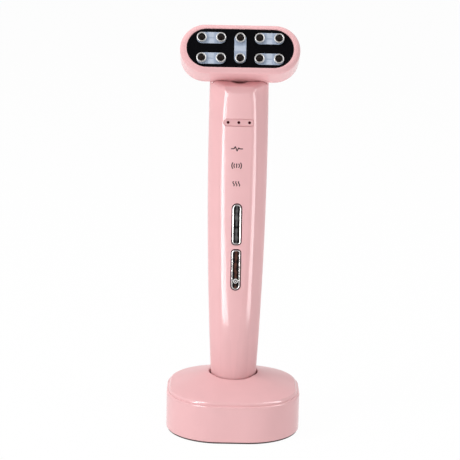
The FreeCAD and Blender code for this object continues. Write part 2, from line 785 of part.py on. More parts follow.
def handle_front_shell():
    """Pink front half of the handle, with the button slots, the indicator's pocket and the bosses."""
    shell = handle_walls.common(half_space(True))
    for z in board_screw_heights:
        shell = shell.fuse(facet_boss(0, z, -board_front))
    for seat in neck_screw_places():
        shell = shell.fuse(facet_boss(seat.x, seat.z, -STEM_FRONT - CLOSE_FIT))
    shell = shell.fuse(cap_post(-CAP_SCREW_FRONT, -inner_facet - HANDLE_WALL / 2))
    for z, upper in ((mode_button_z, True), (power_button_z, False)):
        shell = shell.cut(button_block(z, slot_margin, -2 * HANDLE_WALL, REACH, upper))
    pocket_floor = -INDICATOR_SINK - INDICATOR_THICKNESS
    pocket = pill_block(INDICATOR_WIDTH, INDICATOR_HEIGHT, pocket_floor, REACH)
    shell = shell.cut(on_facet(pocket, indicator_z))
    for light in (-1, 0, 1):
        start = Vector(light * LIGHT_PITCH, -FACET_DISTANCE, indicator_z)
        hole = rod(LIGHT_DIAMETER + 2 * CLOSE_FIT, start, backward, 2 * HANDLE_WALL)
        shell = shell.cut(hole)
    for z in board_screw_heights:
        seat = Vector(0, -board_front, z)
        shell = shell.cut(screw_hole(SMALL_SCREW_DIAMETER, seat, forward, SMALL_SCREW_LENGTH))
    for seat in neck_screw_places():
        bore = screw_hole(SCREW_DIAMETER, seat, forward, neck_screw_length())
        shell = shell.cut(bore)
    shell = shell.cut(screw_hole(SCREW_DIAMETER, cap_screw_seat(-CAP_SCREW_FRONT), up, cap_screw_length()))
    return shell.removeSplitter()


def neck_screw_length():
    """Return the length of a neck screw: through the stem and most of a boss."""
    return STEM_BACK + STEM_FRONT + SCREW_LENGTH


def cap_screw_length():
    """Return the length of an end cap screw: through the cap and into its post."""
    return CAP_FLANGE + CAP_PLUG - SCREW_HEAD_HEIGHT + SCREW_LENGTH - LOOSE_FIT


motor_top = stem_bottom - 2 * LOOSE_FIT - WEIGHT_HEIGHT - SHAFT_DIAMETER
motor_bottom = motor_top - MOTOR_LENGTH
sleeve_half = MOTOR_DIAMETER / 2 + SLEEVE_WALL
sleeve_top = motor_top - SLEEVE_WALL


def handle_rear_shell():
    """Pink rear half of the handle with its round shoulder, the motor's cradle and a screw post."""
    shell = handle_walls.common(half_space(False))
    cradle_half = sleeve_half + LOOSE_FIT + CRADLE_WALL
    cradle = box(
        -cradle_half, cradle_half, SPLIT_PLACE + CRADLE_WALL, REACH, motor_bottom - CRADLE_WALL, sleeve_top
    )
    cradle = cradle.common(handle_outside)
    pocket_half = sleeve_half + LOOSE_FIT
    pocket = box(
        -pocket_half, pocket_half, -REACH, MOTOR_PLACE + pocket_half, motor_bottom, sleeve_top + TINY
    )
    cradle = cradle.cut(pocket)
    shell = shell.fuse(cradle)
    wall_y = handle_half(shell_bottom) - HANDLE_WALL / 2
    shell = shell.fuse(cap_post(CAP_SCREW_BACK, wall_y))
    shell = shell.cut(screw_hole(SCREW_DIAMETER, cap_screw_seat(CAP_SCREW_BACK), up, cap_screw_length()))
    return shell.removeSplitter()


def handle_end_cap():
    """Pink cap that closes the bottom of the handle and carries the charging contacts."""
    flange = handle_length(wand_bottom, shell_bottom, 0)
    plug = handle_length(shell_bottom, shell_bottom + CAP_PLUG, HANDLE_WALL + LOOSE_FIT)
    cap = flange.fuse(plug)
    for x in pin_places.values():
        contact_low = Vector(x, 0, wand_bottom + PIN_RISE)
        reach = rod(PIN_FLANGE_DIAMETER, Vector(x, 0, wand_bottom - TINY), up, PIN_RISE + 2 * TINY)
        pocket = rod(CONTACT_DIAMETER + 2 * LOOSE_FIT, contact_low, up, CAP_FLANGE + CAP_PLUG)
        cap = cap.cut(reach).cut(pocket)
    for y in (-CAP_SCREW_FRONT, CAP_SCREW_BACK):
        seat = cap_screw_seat(y)
        cap = cap.cut(screw_hole(SCREW_DIAMETER, seat, up, CAP_FLANGE + CAP_PLUG))
        head = screw_hole(SCREW_HEAD_DIAMETER, Vector(0, y, 0), up, seat.z - LOOSE_FIT)
        cap = cap.cut(head)
    return cap.removeSplitter()


def charge_contacts():
    """Two gilt discs that meet the stand's spring pins."""
    low = wand_bottom + PIN_RISE
    return [rod(CONTACT_DIAMETER, Vector(x, 0, low), up, CONTACT_THICKNESS) for x in pin_places.values()]


def end_cap_screws():
    """Two screws that hold the end cap to both handle shells."""
    screws = []
    for y in (-CAP_SCREW_FRONT, CAP_SCREW_BACK):
        screws.append(
            screw(
                cap_screw_seat(y), up, SCREW_DIAMETER, SCREW_HEAD_DIAMETER, SCREW_HEAD_HEIGHT,
                cap_screw_length() - LOOSE_FIT,
            )
        )
    return screws


def indicator_bar():
    """Clear strip set into the front facet."""
    low = -INDICATOR_SINK - INDICATOR_THICKNESS
    width = INDICATOR_WIDTH - 2 * CLOSE_FIT
    strip = pill_block(width, INDICATOR_HEIGHT - 2 * CLOSE_FIT, low, -INDICATOR_SINK)
    for light in (-1, 0, 1):
        hole = rod(LIGHT_DIAMETER + 2 * CLOSE_FIT, Vector(light * LIGHT_PITCH, 0, low), up, REACH)
        strip = strip.cut(hole)
    return on_facet(strip, indicator_z).common(handle_solid(shell_bottom, CLOSE_FIT))


def indicator_lights():
    """Three dark light pipes from the board to the front of the strip."""
    lights = []
    for light in (-1, 0, 1):
        front = Vector(light * LIGHT_PITCH, -FACET_DISTANCE + INDICATOR_SINK, indicator_z)
        length = FACET_DISTANCE - INDICATOR_SINK - board_front - LED_HEIGHT - LOOSE_FIT
        lights.append(rod(LIGHT_DIAMETER, front, backward, length))
    return lights


def indicator_leds():
    """Three light-emitting diodes behind the light pipes."""
    half = LED_WIDTH / 2
    return [
        box(
            light * LIGHT_PITCH - half,
            light * LIGHT_PITCH + half,
            -board_front - LED_HEIGHT,
            -board_front,
            indicator_z - LED_DEPTH / 2,
            indicator_z + LED_DEPTH / 2,
        )
        for light in (-1, 0, 1)
    ]


def button_gasket(z, upper):
    """Dark soft ring that lines a button's slot."""
    low = -HANDLE_WALL + 2 * CLOSE_FIT
    ring = button_block(z, GASKET_WIDTH, low, -GASKET_SINK, upper)
    return ring.cut(button_block(z, SLIDE_FIT, low - TINY, TINY, upper))


def button(z, upper):
    """Chrome button with a raised rim, a dished middle and a flange that keeps it in its slot."""
    flange_front = -HANDLE_WALL - CLOSE_FIT
    cap = button_block(z, 0, flange_front, BUTTON_PROUD, upper)
    flange = button_block(z, FLANGE_WIDTH, flange_front - FLANGE_THICKNESS, flange_front, upper)
    dish = button_block(z, -BUTTON_DISH_RIM, BUTTON_PROUD - BUTTON_DISH_DEPTH, REACH, upper)
    return cap.fuse(flange).cut(dish).removeSplitter()


flange_back = inner_facet - CLOSE_FIT - FLANGE_THICKNESS
switch_front = board_front + SWITCH_HEIGHT
stem_end = switch_front - BUTTON_TRAVEL


def switch_body(z):
    """Push switch on the main board, bored for its stem."""
    half = SWITCH_SIZE / 2
    body = box(-half, half, -switch_front, -board_front, z - half, z + half)
    bore_length = SWITCH_HEIGHT - LOOSE_FIT
    bore = rod(SWITCH_STEM_DIAMETER + 2 * SLIDE_FIT, Vector(0, -switch_front, z), backward, bore_length)
    return body.cut(bore)


def switch_stem(z):
    """Plunger of a push switch, which stands against the back of its button."""
    return rod(SWITCH_STEM_DIAMETER, Vector(0, -flange_back, z), backward, flange_back - stem_end)


def main_board():
    """Main circuit board behind the front facet."""
    half = BOARD_WIDTH / 2
    back = -board_front + BOARD_THICKNESS
    board = box(-half, half, -board_front, back, board_bottom, board_top)
    for z in board_screw_heights:
        hole = screw_hole(SMALL_SCREW_DIAMETER, Vector(0, back, z), forward, BOARD_THICKNESS)
        board = board.cut(hole)
    return board


def board_screws():
    """Screws that hold the main board to the bosses of the front shell."""
    back = -board_front + BOARD_THICKNESS
    return [small_screw(Vector(0, back, z), forward) for z in board_screw_heights]


def board_chips():
    """Controller, charger and driver chips on the back of the main board."""
    back = -board_front + BOARD_THICKNESS
    chips = []
    for z, half in (
        (power_button_z, SWITCH_SIZE),
        (mode_button_z, SWITCH_SIZE / 2),
        (mode_button_z - 2 * SWITCH_SIZE, SWITCH_SIZE / 2),
    ):
        chips.append(box(-half, half, back, back + BOARD_THICKNESS, z - half / 2, z + half / 2))
    return chips


battery_bottom = cap_post_top + TRAY_WALL + 2 * LOOSE_FIT
battery_top = battery_bottom + BATTERY_LENGTH
battery_diameter = 2 * (handle_half(battery_bottom) - HANDLE_WALL - TRAY_WALL - 3 * LOOSE_FIT)


def battery_cell():
    """Round rechargeable cell."""
    cell = rod(battery_diameter, Vector(0, 0, battery_bottom), up, BATTERY_LENGTH - TRAY_WALL)
    cell = cell.makeFillet(TRAY_WALL, edges_at(cell, battery_bottom))
    nub = rod(battery_diameter / 3, Vector(0, 0, battery_top - TRAY_WALL), up, TRAY_WALL)
    return cell.fuse(nub).removeSplitter()


def battery_tray():
    """Half-round tray between the cell and the rear shell, with a floor and ribs that reach the shell."""
    inner = battery_diameter + 2 * LOOSE_FIT
    outer = inner + 2 * TRAY_WALL
    low = battery_bottom - TRAY_WALL - LOOSE_FIT
    tray = rod(outer, Vector(0, 0, low), up, battery_top - low)
    ribs = []
    for z in (low, (low + battery_top) / 2, battery_top - 2 * TRAY_WALL):
        ribs.append(rod(2 * REACH, Vector(0, 0, z), up, 2 * TRAY_WALL))
    for rib in ribs:
        tray = tray.fuse(rib.common(handle_length(low - TINY, battery_top, HANDLE_WALL + LOOSE_FIT)))
    tray = tray.common(box(-REACH, REACH, SPLIT_PLACE, REACH, low, battery_top))
    bore = rod(inner, Vector(0, 0, battery_bottom - LOOSE_FIT), up, REACH)
    return tray.cut(bore).removeSplitter()


motor_axis = Vector(0, MOTOR_PLACE, 0)


def motor_can():
    """Vibration motor."""
    can = rod(MOTOR_DIAMETER, motor_axis + up * motor_bottom, up, MOTOR_LENGTH)
    bore_low = motor_axis + up * (motor_top - MOTOR_LENGTH / 2)
    bore = rod(SHAFT_DIAMETER + 2 * SLIDE_FIT, bore_low, up, MOTOR_LENGTH)
    return can.cut(bore)


def motor_shaft():
    """Motor shaft that carries the weight."""
    low = motor_top - MOTOR_LENGTH / 2 + LOOSE_FIT
    high = motor_top + SHAFT_DIAMETER + WEIGHT_HEIGHT
    return rod(SHAFT_DIAMETER, motor_axis + up * low, up, high - low)


def motor_weight():
    """Eccentric weight, a half round pressed on the motor shaft."""
    low = motor_top + SHAFT_DIAMETER
    weight = rod(2 * WEIGHT_RADIUS, motor_axis + up * low, up, WEIGHT_HEIGHT)
    away = box(-REACH, REACH, -REACH, MOTOR_PLACE, low - TINY, low + WEIGHT_HEIGHT + TINY)
    hub = rod(2 * SHAFT_DIAMETER, motor_axis + up * low, up, WEIGHT_HEIGHT)
    bore = rod(SHAFT_DIAMETER, motor_axis + up * low, up, WEIGHT_HEIGHT)
    return weight.cut(away).fuse(hub).cut(bore).removeSplitter()


def motor_sleeve():
    """Rubber sleeve round the motor, seated in the rear shell's cradle."""
    front = MOTOR_PLACE - sleeve_half
    back = MOTOR_PLACE + sleeve_half
    sleeve = box(-sleeve_half, sleeve_half, front, back, motor_bottom, sleeve_top)
    bore = rod(MOTOR_DIAMETER + 2 * CLOSE_FIT, motor_axis + up * (motor_bottom - TINY), up, REACH)
    return sleeve.cut(bore)


def strip_along(points, thickness):
    """Return the outline of a thin strip that follows points in the YZ plane."""
    left = []
    right = []
    for index, point in enumerate(points):
        before = points[max(index - 1, 0)]
        after = points[min(index + 1, len(points) - 1)]
        come = (point - before) if index else (after - point)
        leave = (after - point) if index < len(points) - 1 else come
        come = come / come.Length
        leave = leave / leave.Length
        middle = come + leave
        middle = middle / middle.Length
        across = Vector(0, -middle.z, middle.y)
        width = thickness / 2 / middle.dot(come)
        left.append(point + across * width)
        right.append(point - across * width)
    outline = left + right[::-1]
    return Part.Face(Part.makePolygon(outline + outline[:1]))


def ribbon_cable():
    """Flat cable from the main board up the neck to the board in the head."""
    back = -board_front + BOARD_THICKNESS + RIBBON_THICKNESS / 2
    bore_middle = (STEM_BACK - STEM_FRONT) / 2
    face = tilted(Vector(0, -HEAD_FORWARD, handle_top + HEAD_RISE), HEAD_TILT)
    gap = RIBBON_THICKNESS / 2
    board_low = face.multVec(Vector(0, -head_hollow_height / 4, led_board_back - gap))
    board_high = face.multVec(Vector(0, 0, led_board_back - gap))
    board_off = face.multVec(Vector(0, -head_hollow_height / 3, led_board_back - 2 * LED_HEIGHT))
    points = [
        Vector(0, back, board_top - 2 * BOSS_DIAMETER),
        Vector(0, back, board_top - LED_HEIGHT),
        Vector(0, bore_middle, stem_bottom - LED_HEIGHT),
        Vector(0, bore_middle, board_off.z - LED_HEIGHT),
        board_off,
        board_low,
        board_high,
    ]
    strip = strip_along(points, RIBBON_THICKNESS)
    strip.translate(Vector(-RIBBON_WIDTH / 2, 0, 0))
    return strip.extrude(Vector(RIBBON_WIDTH, 0, 0))


# Head pieces

def head_hollow():
    """Return the room inside the head, behind the panel's ledge."""
    return pill_block(
        head_hollow_width, head_hollow_height, -HEAD_DEPTH + HEAD_WALL, panel_back - LEDGE_THICKNESS
    )


def behind_split():
    """Return the space behind the plane where the two head shells meet, in the face's axes."""
    return box(-REACH, REACH, -REACH, REACH, -REACH, -HEAD_SPLIT)


def head_bezel():
    """Pink front half of the head, with the panel's recess, its ledge and two bosses."""
    bezel = head_block(0).cut(behind_split())
    recess = pill_block(panel_width + 2 * LOOSE_FIT, panel_height + 2 * LOOSE_FIT, panel_back, REACH)
    opening = pill_block(ledge_width, ledge_height, -REACH, REACH)
    bezel = bezel.cut(recess).cut(opening).cut(head_hollow())
    for side in (-1, 1):
        start = Vector(side * led_boss_place, 0, baffle_back)
        boss = rod(LED_BOSS_DIAMETER, start, up, panel_back - baffle_back)
        keep = pill_block(HEAD_WIDTH - HEAD_WALL, HEAD_HEIGHT - HEAD_WALL, baffle_back, panel_back)
        bezel = bezel.fuse(boss.common(keep))
        bezel = bezel.cut(screw_hole(SMALL_SCREW_DIAMETER, start, up, led_screw_grip()))
    return on_face(bezel.removeSplitter())


def led_screw_grip():
    """Return how far the small screws reach into the bezel's bosses."""
    return SMALL_SCREW_LENGTH - LED_BOARD_THICKNESS


def head_rear_shell():
    """Pink rear half of the head with its tongue, and the hollow neck that runs down into the handle."""
    shell = head_block(0).common(behind_split())
    tongue_width = head_hollow_width - 2 * CLOSE_FIT
    tongue_height = head_hollow_height - 2 * CLOSE_FIT
    tongue = pill_block(tongue_width, tongue_height, -HEAD_SPLIT, -HEAD_SPLIT + HEAD_TONGUE)
    shell = on_face(shell.fuse(tongue))
    stem = box(
        -STEM_WIDTH / 2, STEM_WIDTH / 2, -STEM_FRONT, STEM_BACK, stem_bottom, handle_top + HEAD_RISE
    )
    stem = stem.common(handle_cavity(HANDLE_WALL + LOOSE_FIT))
    shell = shell.fuse(stem)
    room_round = HEAD_BACK_ROUND - HEAD_WALL
    room = pill_block(
        tongue_width - 2 * HEAD_TONGUE_WALL,
        tongue_height - 2 * HEAD_TONGUE_WALL,
        -HEAD_DEPTH + HEAD_WALL,
        -HEAD_SPLIT + HEAD_TONGUE + TINY,
    )
    room = room.makeFillet(room_round, edges_at(room, -HEAD_DEPTH + HEAD_WALL))
    shell = shell.cut(on_face(room))
    middle = (STEM_BACK - STEM_FRONT) / 2
    bore = box(
        -STEM_BORE_WIDTH / 2, STEM_BORE_WIDTH / 2, middle - STEM_BORE_DEPTH / 2,
        middle + STEM_BORE_DEPTH / 2, stem_bottom - TINY, handle_top + HEAD_RISE,
    )
    shell = shell.cut(bore)
    for seat in neck_screw_places():
        shell = shell.cut(screw_hole(SCREW_DIAMETER, seat, forward, STEM_BACK + STEM_FRONT))
    return shell.removeSplitter()


def neck_screws():
    """Two screws that hold the head's neck to the front shell."""
    return [
        screw(
            seat, forward, SCREW_DIAMETER, SCREW_HEAD_DIAMETER, SCREW_HEAD_HEIGHT,
            neck_screw_length() - LOOSE_FIT,
        )
        for seat in neck_screw_places()
    ]


def face_panel():
    """Black gloss panel with a pill-shaped hole for each light window."""
    panel = pill_block(panel_width, panel_height, panel_back, -PANEL_SINK)
    for place in window_places().values():
        panel = panel.cut(window_shape(place, WINDOW_RADIUS + CLOSE_FIT, panel_back - TINY, REACH))
    return on_face(panel)


def electrode_holes(diameter, z_low, z_high):
    """Return round holes at all the electrodes, as one tool."""
    holes = [rod(diameter, Vector(x, y, z_low), up, z_high - z_low) for x, y in electrode_places()]
    return Part.makeCompound(holes)


def light_window(place):
    """Frosted window flush with the panel, bored for its two electrodes."""
    pane = window_shape(place, WINDOW_RADIUS, panel_back, -PANEL_SINK)
    holes = electrode_holes(STUD_SHANK + 2 * CLOSE_FIT, panel_back - TINY, TINY)
    return on_face(pane.cut(holes))


def electrode_rings():
    """Ten bright rings round the electrodes."""
    rings = []
    for x, y in electrode_places():
        base = Vector(x, y, -PANEL_SINK)
        ring = rod(ELECTRODE_DIAMETER, base, up, ELECTRODE_RISE)
        ring = ring.cut(rod(ELECTRODE_HOLE, base, up, ELECTRODE_RISE))
        ring = ring.makeFillet(ELECTRODE_ROUND, edges_at(ring, -PANEL_SINK + ELECTRODE_RISE))
        rings.append(on_face(ring))
    return rings


def electrode_studs():
    """Ten dark contact studs, each with a shank that reaches the board behind the panel."""
    studs = []
    for x, y in electrode_places():
        head = rod(ELECTRODE_HOLE - 2 * CLOSE_FIT, Vector(x, y, -PANEL_SINK), up, STUD_RISE)
        shank = rod(STUD_SHANK, Vector(x, y, baffle_back), up, -PANEL_SINK - baffle_back)
        studs.append(on_face(head.fuse(shank).removeSplitter()))
    return studs


def inner_plate(z_low, z_high):
    """Return a plate that fits the ledge's opening."""
    return pill_block(ledge_width - 2 * LOOSE_FIT, ledge_height - 2 * LOOSE_FIT, z_low, z_high)


def led_boss_clearance(z_low, z_high):
    """Return the room for the bezel's two bosses."""
    bosses = []
    for side in (-1, 1):
        start = Vector(side * led_boss_place, 0, z_low)
        bosses.append(rod(LED_BOSS_DIAMETER + 2 * LOOSE_FIT, start, up, z_high - z_low))
    return Part.makeCompound(bosses)


def heater_plate():
    """Thin warming plate behind the panel, open behind the windows."""
    plate = inner_plate(heater_back, panel_back)
    for place in window_places().values():
        plate = plate.cut(window_shape(place, WINDOW_RADIUS - BAFFLE_MARGIN, heater_back - TINY, 0))
    return on_face(plate.cut(led_boss_clearance(heater_back - TINY, 0)))


def light_baffle():
    """White frame that keeps the light of each window to itself."""
    frame = inner_plate(baffle_back, heater_back)
    for place in window_places().values():
        frame = frame.cut(window_shape(place, WINDOW_RADIUS - BAFFLE_MARGIN, baffle_back - TINY, 0))
    return on_face(frame.cut(led_boss_clearance(baffle_back - TINY, 0)))


def led_board():
    """Board in the head that carries the lights and the electrodes' studs."""
    width = head_hollow_width - 2 * LED_BOARD_GAP
    height = head_hollow_height - 2 * LED_BOARD_GAP
    board = pill_block(width, height, led_board_back, baffle_back)
    for side in (-1, 1):
        seat = Vector(side * led_boss_place, 0, led_board_back)
        board = board.cut(screw_hole(SMALL_SCREW_DIAMETER, seat, up, LED_BOARD_THICKNESS))
    return on_face(board)


def leds():
    """One light-emitting diode behind the middle of each window."""
    lights = []
    half_x = LED_WIDTH / 2
    half_y = LED_DEPTH / 2
    for place in window_places().values():
        middle_x, middle_y = place[:2]
        light = box(
            middle_x - half_x, middle_x + half_x, middle_y - half_y, middle_y + half_y,
            baffle_back, baffle_back + LED_HEIGHT,
        )
        lights.append(on_face(light))
    return lights


def led_board_screws():
    """Two screws that hold the head's board to the bezel's bosses."""
    screws = []
    for side in (-1, 1):
        seat = Vector(side * led_boss_place, 0, led_board_back)
        screws.append(on_face(small_screw(seat, up)))
    return screws


parts = {
    "stand_cover": stand_cover(),
    "stand_body": stand_body(),
    "bottom_plate": bottom_plate(),
    "anti_slip_pad": anti_slip_pad(),
    "stand_screws": stand_screws(),
    "ballast_weights": ballast_weights(),
    "contact_block": contact_block(),
    "stand_board": stand_board(),
    "usb_shell": usb_shell(),
    "usb_tongue": usb_tongue(),
    "handle_front_shell": handle_front_shell(),
    "handle_rear_shell": handle_rear_shell(),
    "handle_end_cap": handle_end_cap(),
    "charge_contacts": charge_contacts(),
    "end_cap_screws": end_cap_screws(),
    "indicator_bar": indicator_bar(),
    "indicator_lights": indicator_lights(),
    "indicator_leds": indicator_leds(),
    "main_board": main_board(),
    "board_screws": board_screws(),
    "board_chips": board_chips(),
    "battery_cell": battery_cell(),
    "battery_tray": battery_tray(),
    "motor_can": motor_can(),
    "motor_shaft": motor_shaft(),
    "motor_weight": motor_weight(),
    "motor_sleeve": motor_sleeve(),
    "ribbon_cable": ribbon_cable(),
    "head_bezel": head_bezel(),
    "head_rear_shell": head_rear_shell(),
    "neck_screws": neck_screws(),
    "face_panel": face_panel(),
    "electrode_rings": electrode_rings(),
    "electrode_studs": electrode_studs(),
    "heater_plate": heater_plate(),
    "light_baffle": light_baffle(),
    "led_board": led_board(),
    "leds": leds(),
    "led_board_screws": led_board_screws(),
}
for side, x in pin_places.items():
    parts["charge_pin_" + side] = charge_pin(x)
    parts["pin_spring_" + side] = pin_spring(x)
for name, z, upper in (("mode", mode_button_z, True), ("power", power_button_z, False)):
    parts[name + "_button"] = button(z, upper)
    parts[name + "_button_gasket"] = button_gasket(z, upper)
    parts[name + "_switch"] = switch_body(z)
    parts[name + "_switch_stem"] = switch_stem(z)
for name, place in window_places().items():
    parts["light_window_" + name] = light_window(place)

os.makedirs("parts", exist_ok=True)
for name, shape in parts.items():
    if isinstance(shape, list):
        shape = Part.makeCompound(shape)
    shape.exportStep("parts/" + name + ".step")
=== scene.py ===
import math

import bmesh
import bpy
from mathutils import Matrix, Vector


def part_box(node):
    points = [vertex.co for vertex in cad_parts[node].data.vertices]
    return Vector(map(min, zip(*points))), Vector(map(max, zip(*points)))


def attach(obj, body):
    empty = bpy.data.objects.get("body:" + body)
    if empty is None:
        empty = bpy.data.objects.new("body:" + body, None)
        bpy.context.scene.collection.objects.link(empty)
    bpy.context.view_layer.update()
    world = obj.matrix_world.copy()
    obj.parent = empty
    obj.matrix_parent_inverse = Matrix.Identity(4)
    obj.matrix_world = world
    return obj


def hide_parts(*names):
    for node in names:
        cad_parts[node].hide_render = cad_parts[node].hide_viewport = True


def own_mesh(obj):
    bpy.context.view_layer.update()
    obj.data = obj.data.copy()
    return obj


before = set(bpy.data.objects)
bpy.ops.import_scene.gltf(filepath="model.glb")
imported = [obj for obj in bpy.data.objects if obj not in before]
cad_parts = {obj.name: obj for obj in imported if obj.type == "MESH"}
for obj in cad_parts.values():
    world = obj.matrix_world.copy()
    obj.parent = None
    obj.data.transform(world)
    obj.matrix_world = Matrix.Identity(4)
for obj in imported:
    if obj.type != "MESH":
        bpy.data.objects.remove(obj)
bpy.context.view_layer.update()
scene = bpy.context.scene

# Anti-slip pad
# A thin sheet of soft dark rubber, cut to the outline of the stand and glued under its bottom plate.
# Its lower edge is a little round, and it shows as the dark line that the stand rests on.
MM = 0.001
STAND_CORNER = 22.0
PAD_EDGE = 0.15
PAD_INSET = 0.5
SQUARE_STEPS = 192
RUBBER = (0.055, 0.034, 0.033)
NOISE_DETAIL = 4.0
TINT_ENDS = (0.3, 0.7)
GLOSS_SPREAD = 0.15
BUMP_STRENGTH = 0.5


def node_box(name):
    """Return the lowest and highest corners of a CAD node, in millimetres."""
    low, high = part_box(name)
    return Vector(low) / MM, Vector(high) / MM


def square_reach(angle, half, corner):
    """Return how far a square with round corners reaches from its middle in one direction."""
    long_side = max(abs(math.cos(angle)), abs(math.sin(angle)))
    short_side = min(abs(math.cos(angle)), abs(math.sin(angle)))
    flat = half / long_side
    middle = half - corner
    if flat * short_side <= middle:
        return flat
    along = middle * (long_side + short_side)
    return along + math.sqrt(along * along - 2 * middle * middle + corner * corner)


def stand_ring(inset, z, angles):
    """Return points round the stand's outline, in by an inset, at one height: one for each angle."""
    points = []
    for angle in angles:
        reach = square_reach(angle, stand_half - inset, STAND_CORNER - inset)
        points.append((reach * math.cos(angle), reach * math.sin(angle), z))
    return points


def rounded(inset, z, radius, steps, up=1):
    """Return pairs (inset, z) that bend from a wall over to its top, or to its underside if up is -1."""
    angles = [math.pi / 2 * step / steps for step in range(steps + 1)]
    bend = [(1 - math.cos(angle), 1 - math.sin(angle)) for angle in angles]
    return [(inset + radius * across, z - up * radius * down) for across, down in bend]


def solid(name, shape):
    """Return the mesh of a finished shape."""
    mesh = bpy.data.meshes.new(name)
    shape.to_mesh(mesh)
    shape.free()
    return mesh


def skin(name, rings, closed=False):
    """Return a mesh of the faces between rings of points, its ends filled, or joined if closed."""
    shape = bmesh.new()
    rows = [[shape.verts.new(Vector(point) * MM) for point in ring] for ring in rings]
    pairs = list(zip(rows, rows[1:]))
    if closed:
        pairs.append((rows[-1], rows[0]))
    else:
        shape.faces.new(rows[0])
        shape.faces.new(rows[-1])
    for lower, upper in pairs:
        count = len(lower)
        for place in range(count):
            after = (place + 1) % count
            shape.faces.new((lower[place], lower[after], upper[after], upper[place]))
    bmesh.ops.recalc_face_normals(shape, faces=shape.faces)
    return solid(name, shape)


def feed(tree, node, inputs):
    """Give a node's inputs their values, or links where a value is a socket or a node's first output."""
    for place, value in inputs.items():
        if isinstance(value, bpy.types.Node):
            value = value.outputs[0]
        if isinstance(value, bpy.types.NodeSocket):
            tree.links.new(value, node.inputs[place])
        else:
            node.inputs[place].default_value = value


def wired(tree, kind, inputs, **settings):
    """Add a node with its settings and inputs to a tree."""
    node = tree.nodes.new(kind)
    for label, value in settings.items():
        setattr(node, label, value)
    feed(tree, node, inputs)
    return node


def grained(name, colour, roughness, metallic=0.0, grain=900.0, mottle=0.06, depth=0.01, specular=0.5):
    """Return a material whose colour, gloss and surface vary a little with noise."""
    material = bpy.data.materials.new(name)
    material.use_nodes = True
    tree = material.node_tree
    spot = tree.nodes.new("ShaderNodeTexCoord").outputs["Object"]
    noise = wired(tree, "ShaderNodeTexNoise", {"Vector": spot, "Scale": grain, "Detail": NOISE_DETAIL})
    tint = wired(tree, "ShaderNodeValToRGB", {"Fac": noise})
    shares = (1 - mottle, 1 + mottle)
    for element, position, share in zip(tint.color_ramp.elements, TINT_ENDS, shares):
        element.position = position
        element.color = [min(value * share, 1.0) for value in colour] + [1.0]
    gloss_ends = {
        "To Min": roughness * (1 - GLOSS_SPREAD),
        "To Max": min(roughness * (1 + GLOSS_SPREAD), 1.0),
    }
    gloss = wired(tree, "ShaderNodeMapRange", {"Value": noise, **gloss_ends})
    ripple_size = {"Strength": BUMP_STRENGTH, "Distance": depth * MM}
    ripple = wired(tree, "ShaderNodeBump", {"Height": noise, **ripple_size})
    shine = {"Metallic": metallic, "Specular IOR Level": specular, "Roughness": gloss}
    feed(tree, tree.nodes["Principled BSDF"], {"Base Color": tint, "Normal": ripple, **shine})
    return material


def placed(name, data):
    """Put a new object into the scene."""
    thing = bpy.data.objects.new(name, data)
    scene.collection.objects.link(thing)
    return thing


def add_piece(mesh, material, body, slot, *nodes, sharp=40):
    """Put a mesh into the scene: it rides on a body and stands for CAD nodes; the slot is not used."""
    if not mesh.materials:
        mesh.materials.append(material)
    mesh.shade_smooth()
    mesh.set_sharp_from_angle(angle=math.radians(sharp))
    piece = placed(mesh.name, mesh)
    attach(piece, body)
    if nodes:
        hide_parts(*nodes)
    return piece


pad_low, pad_high = node_box("anti_slip_pad")
stand_low, stand_high = node_box("stand_body")
stand_half = stand_high.x
all_round = [2 * math.pi * step / SQUARE_STEPS for step in range(SQUARE_STEPS)]
pad_profile = [*reversed(rounded(PAD_INSET, pad_low.z, PAD_EDGE, steps=5, up=-1)), (PAD_INSET, pad_high.z)]
rubber_pad = skin("rubber_pad", [stand_ring(inset, z, all_round) for inset, z in pad_profile])
dark_rubber = grained("dark_rubber", RUBBER, 0.7, grain=2500, mottle=0.25, depth=0.05)
add_piece(rubber_pad, dark_rubber, "stand", "dark_rubber", "anti_slip_pad")

# Bottom plate, ballast and contact block
# Dark moulded plate that closes the stand, two steel weights on it against tipping, and the moulded
# block that the wand stands on. Four screws through the plate hold the stand together.
DARK_PLASTIC = (0.022, 0.022, 0.024)
STEEL = (0.55, 0.55, 0.56)
MICRON = MM / 1000


def brushed(name, colour, roughness, stretch):
    """Return a metal with fine drawn lines: stretch squeezes the noise along each axis."""
    material = grained(name, colour, roughness, metallic=1.0, grain=700, mottle=0.1, depth=0.006)
    tree = material.node_tree
    spot = tree.nodes["Texture Coordinate"].outputs["Object"]
    lines = wired(tree, "ShaderNodeMapping", {"Vector": spot, "Scale": stretch})
    feed(tree, tree.nodes["Noise Texture"], {"Vector": lines})
    return material


def dress(material, *names):
    """Give CAD nodes that stay in view a material."""
    for name in names:
        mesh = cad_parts[name].data
        mesh.materials.clear()
        mesh.materials.append(material)


def merged(node, name):
    """Return a copy of a CAD node's mesh with its loose triangles joined."""
    shape = bmesh.new()
    shape.from_mesh(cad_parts[node].data)
    bmesh.ops.remove_doubles(shape, verts=shape.verts, dist=MICRON)
    return solid(name, shape)


dark_plastic = grained("dark_plastic", DARK_PLASTIC, 0.45, grain=4000, mottle=0.2, depth=0.02)
steel = brushed("steel", STEEL, 0.3, stretch=(1, 1, 12))
dress(dark_plastic, "bottom_plate")
dress(steel, "ballast_weights", "stand_screws")
add_piece(merged("contact_block", "block"), dark_plastic, "stand", "dark_plastic", "contact_block")

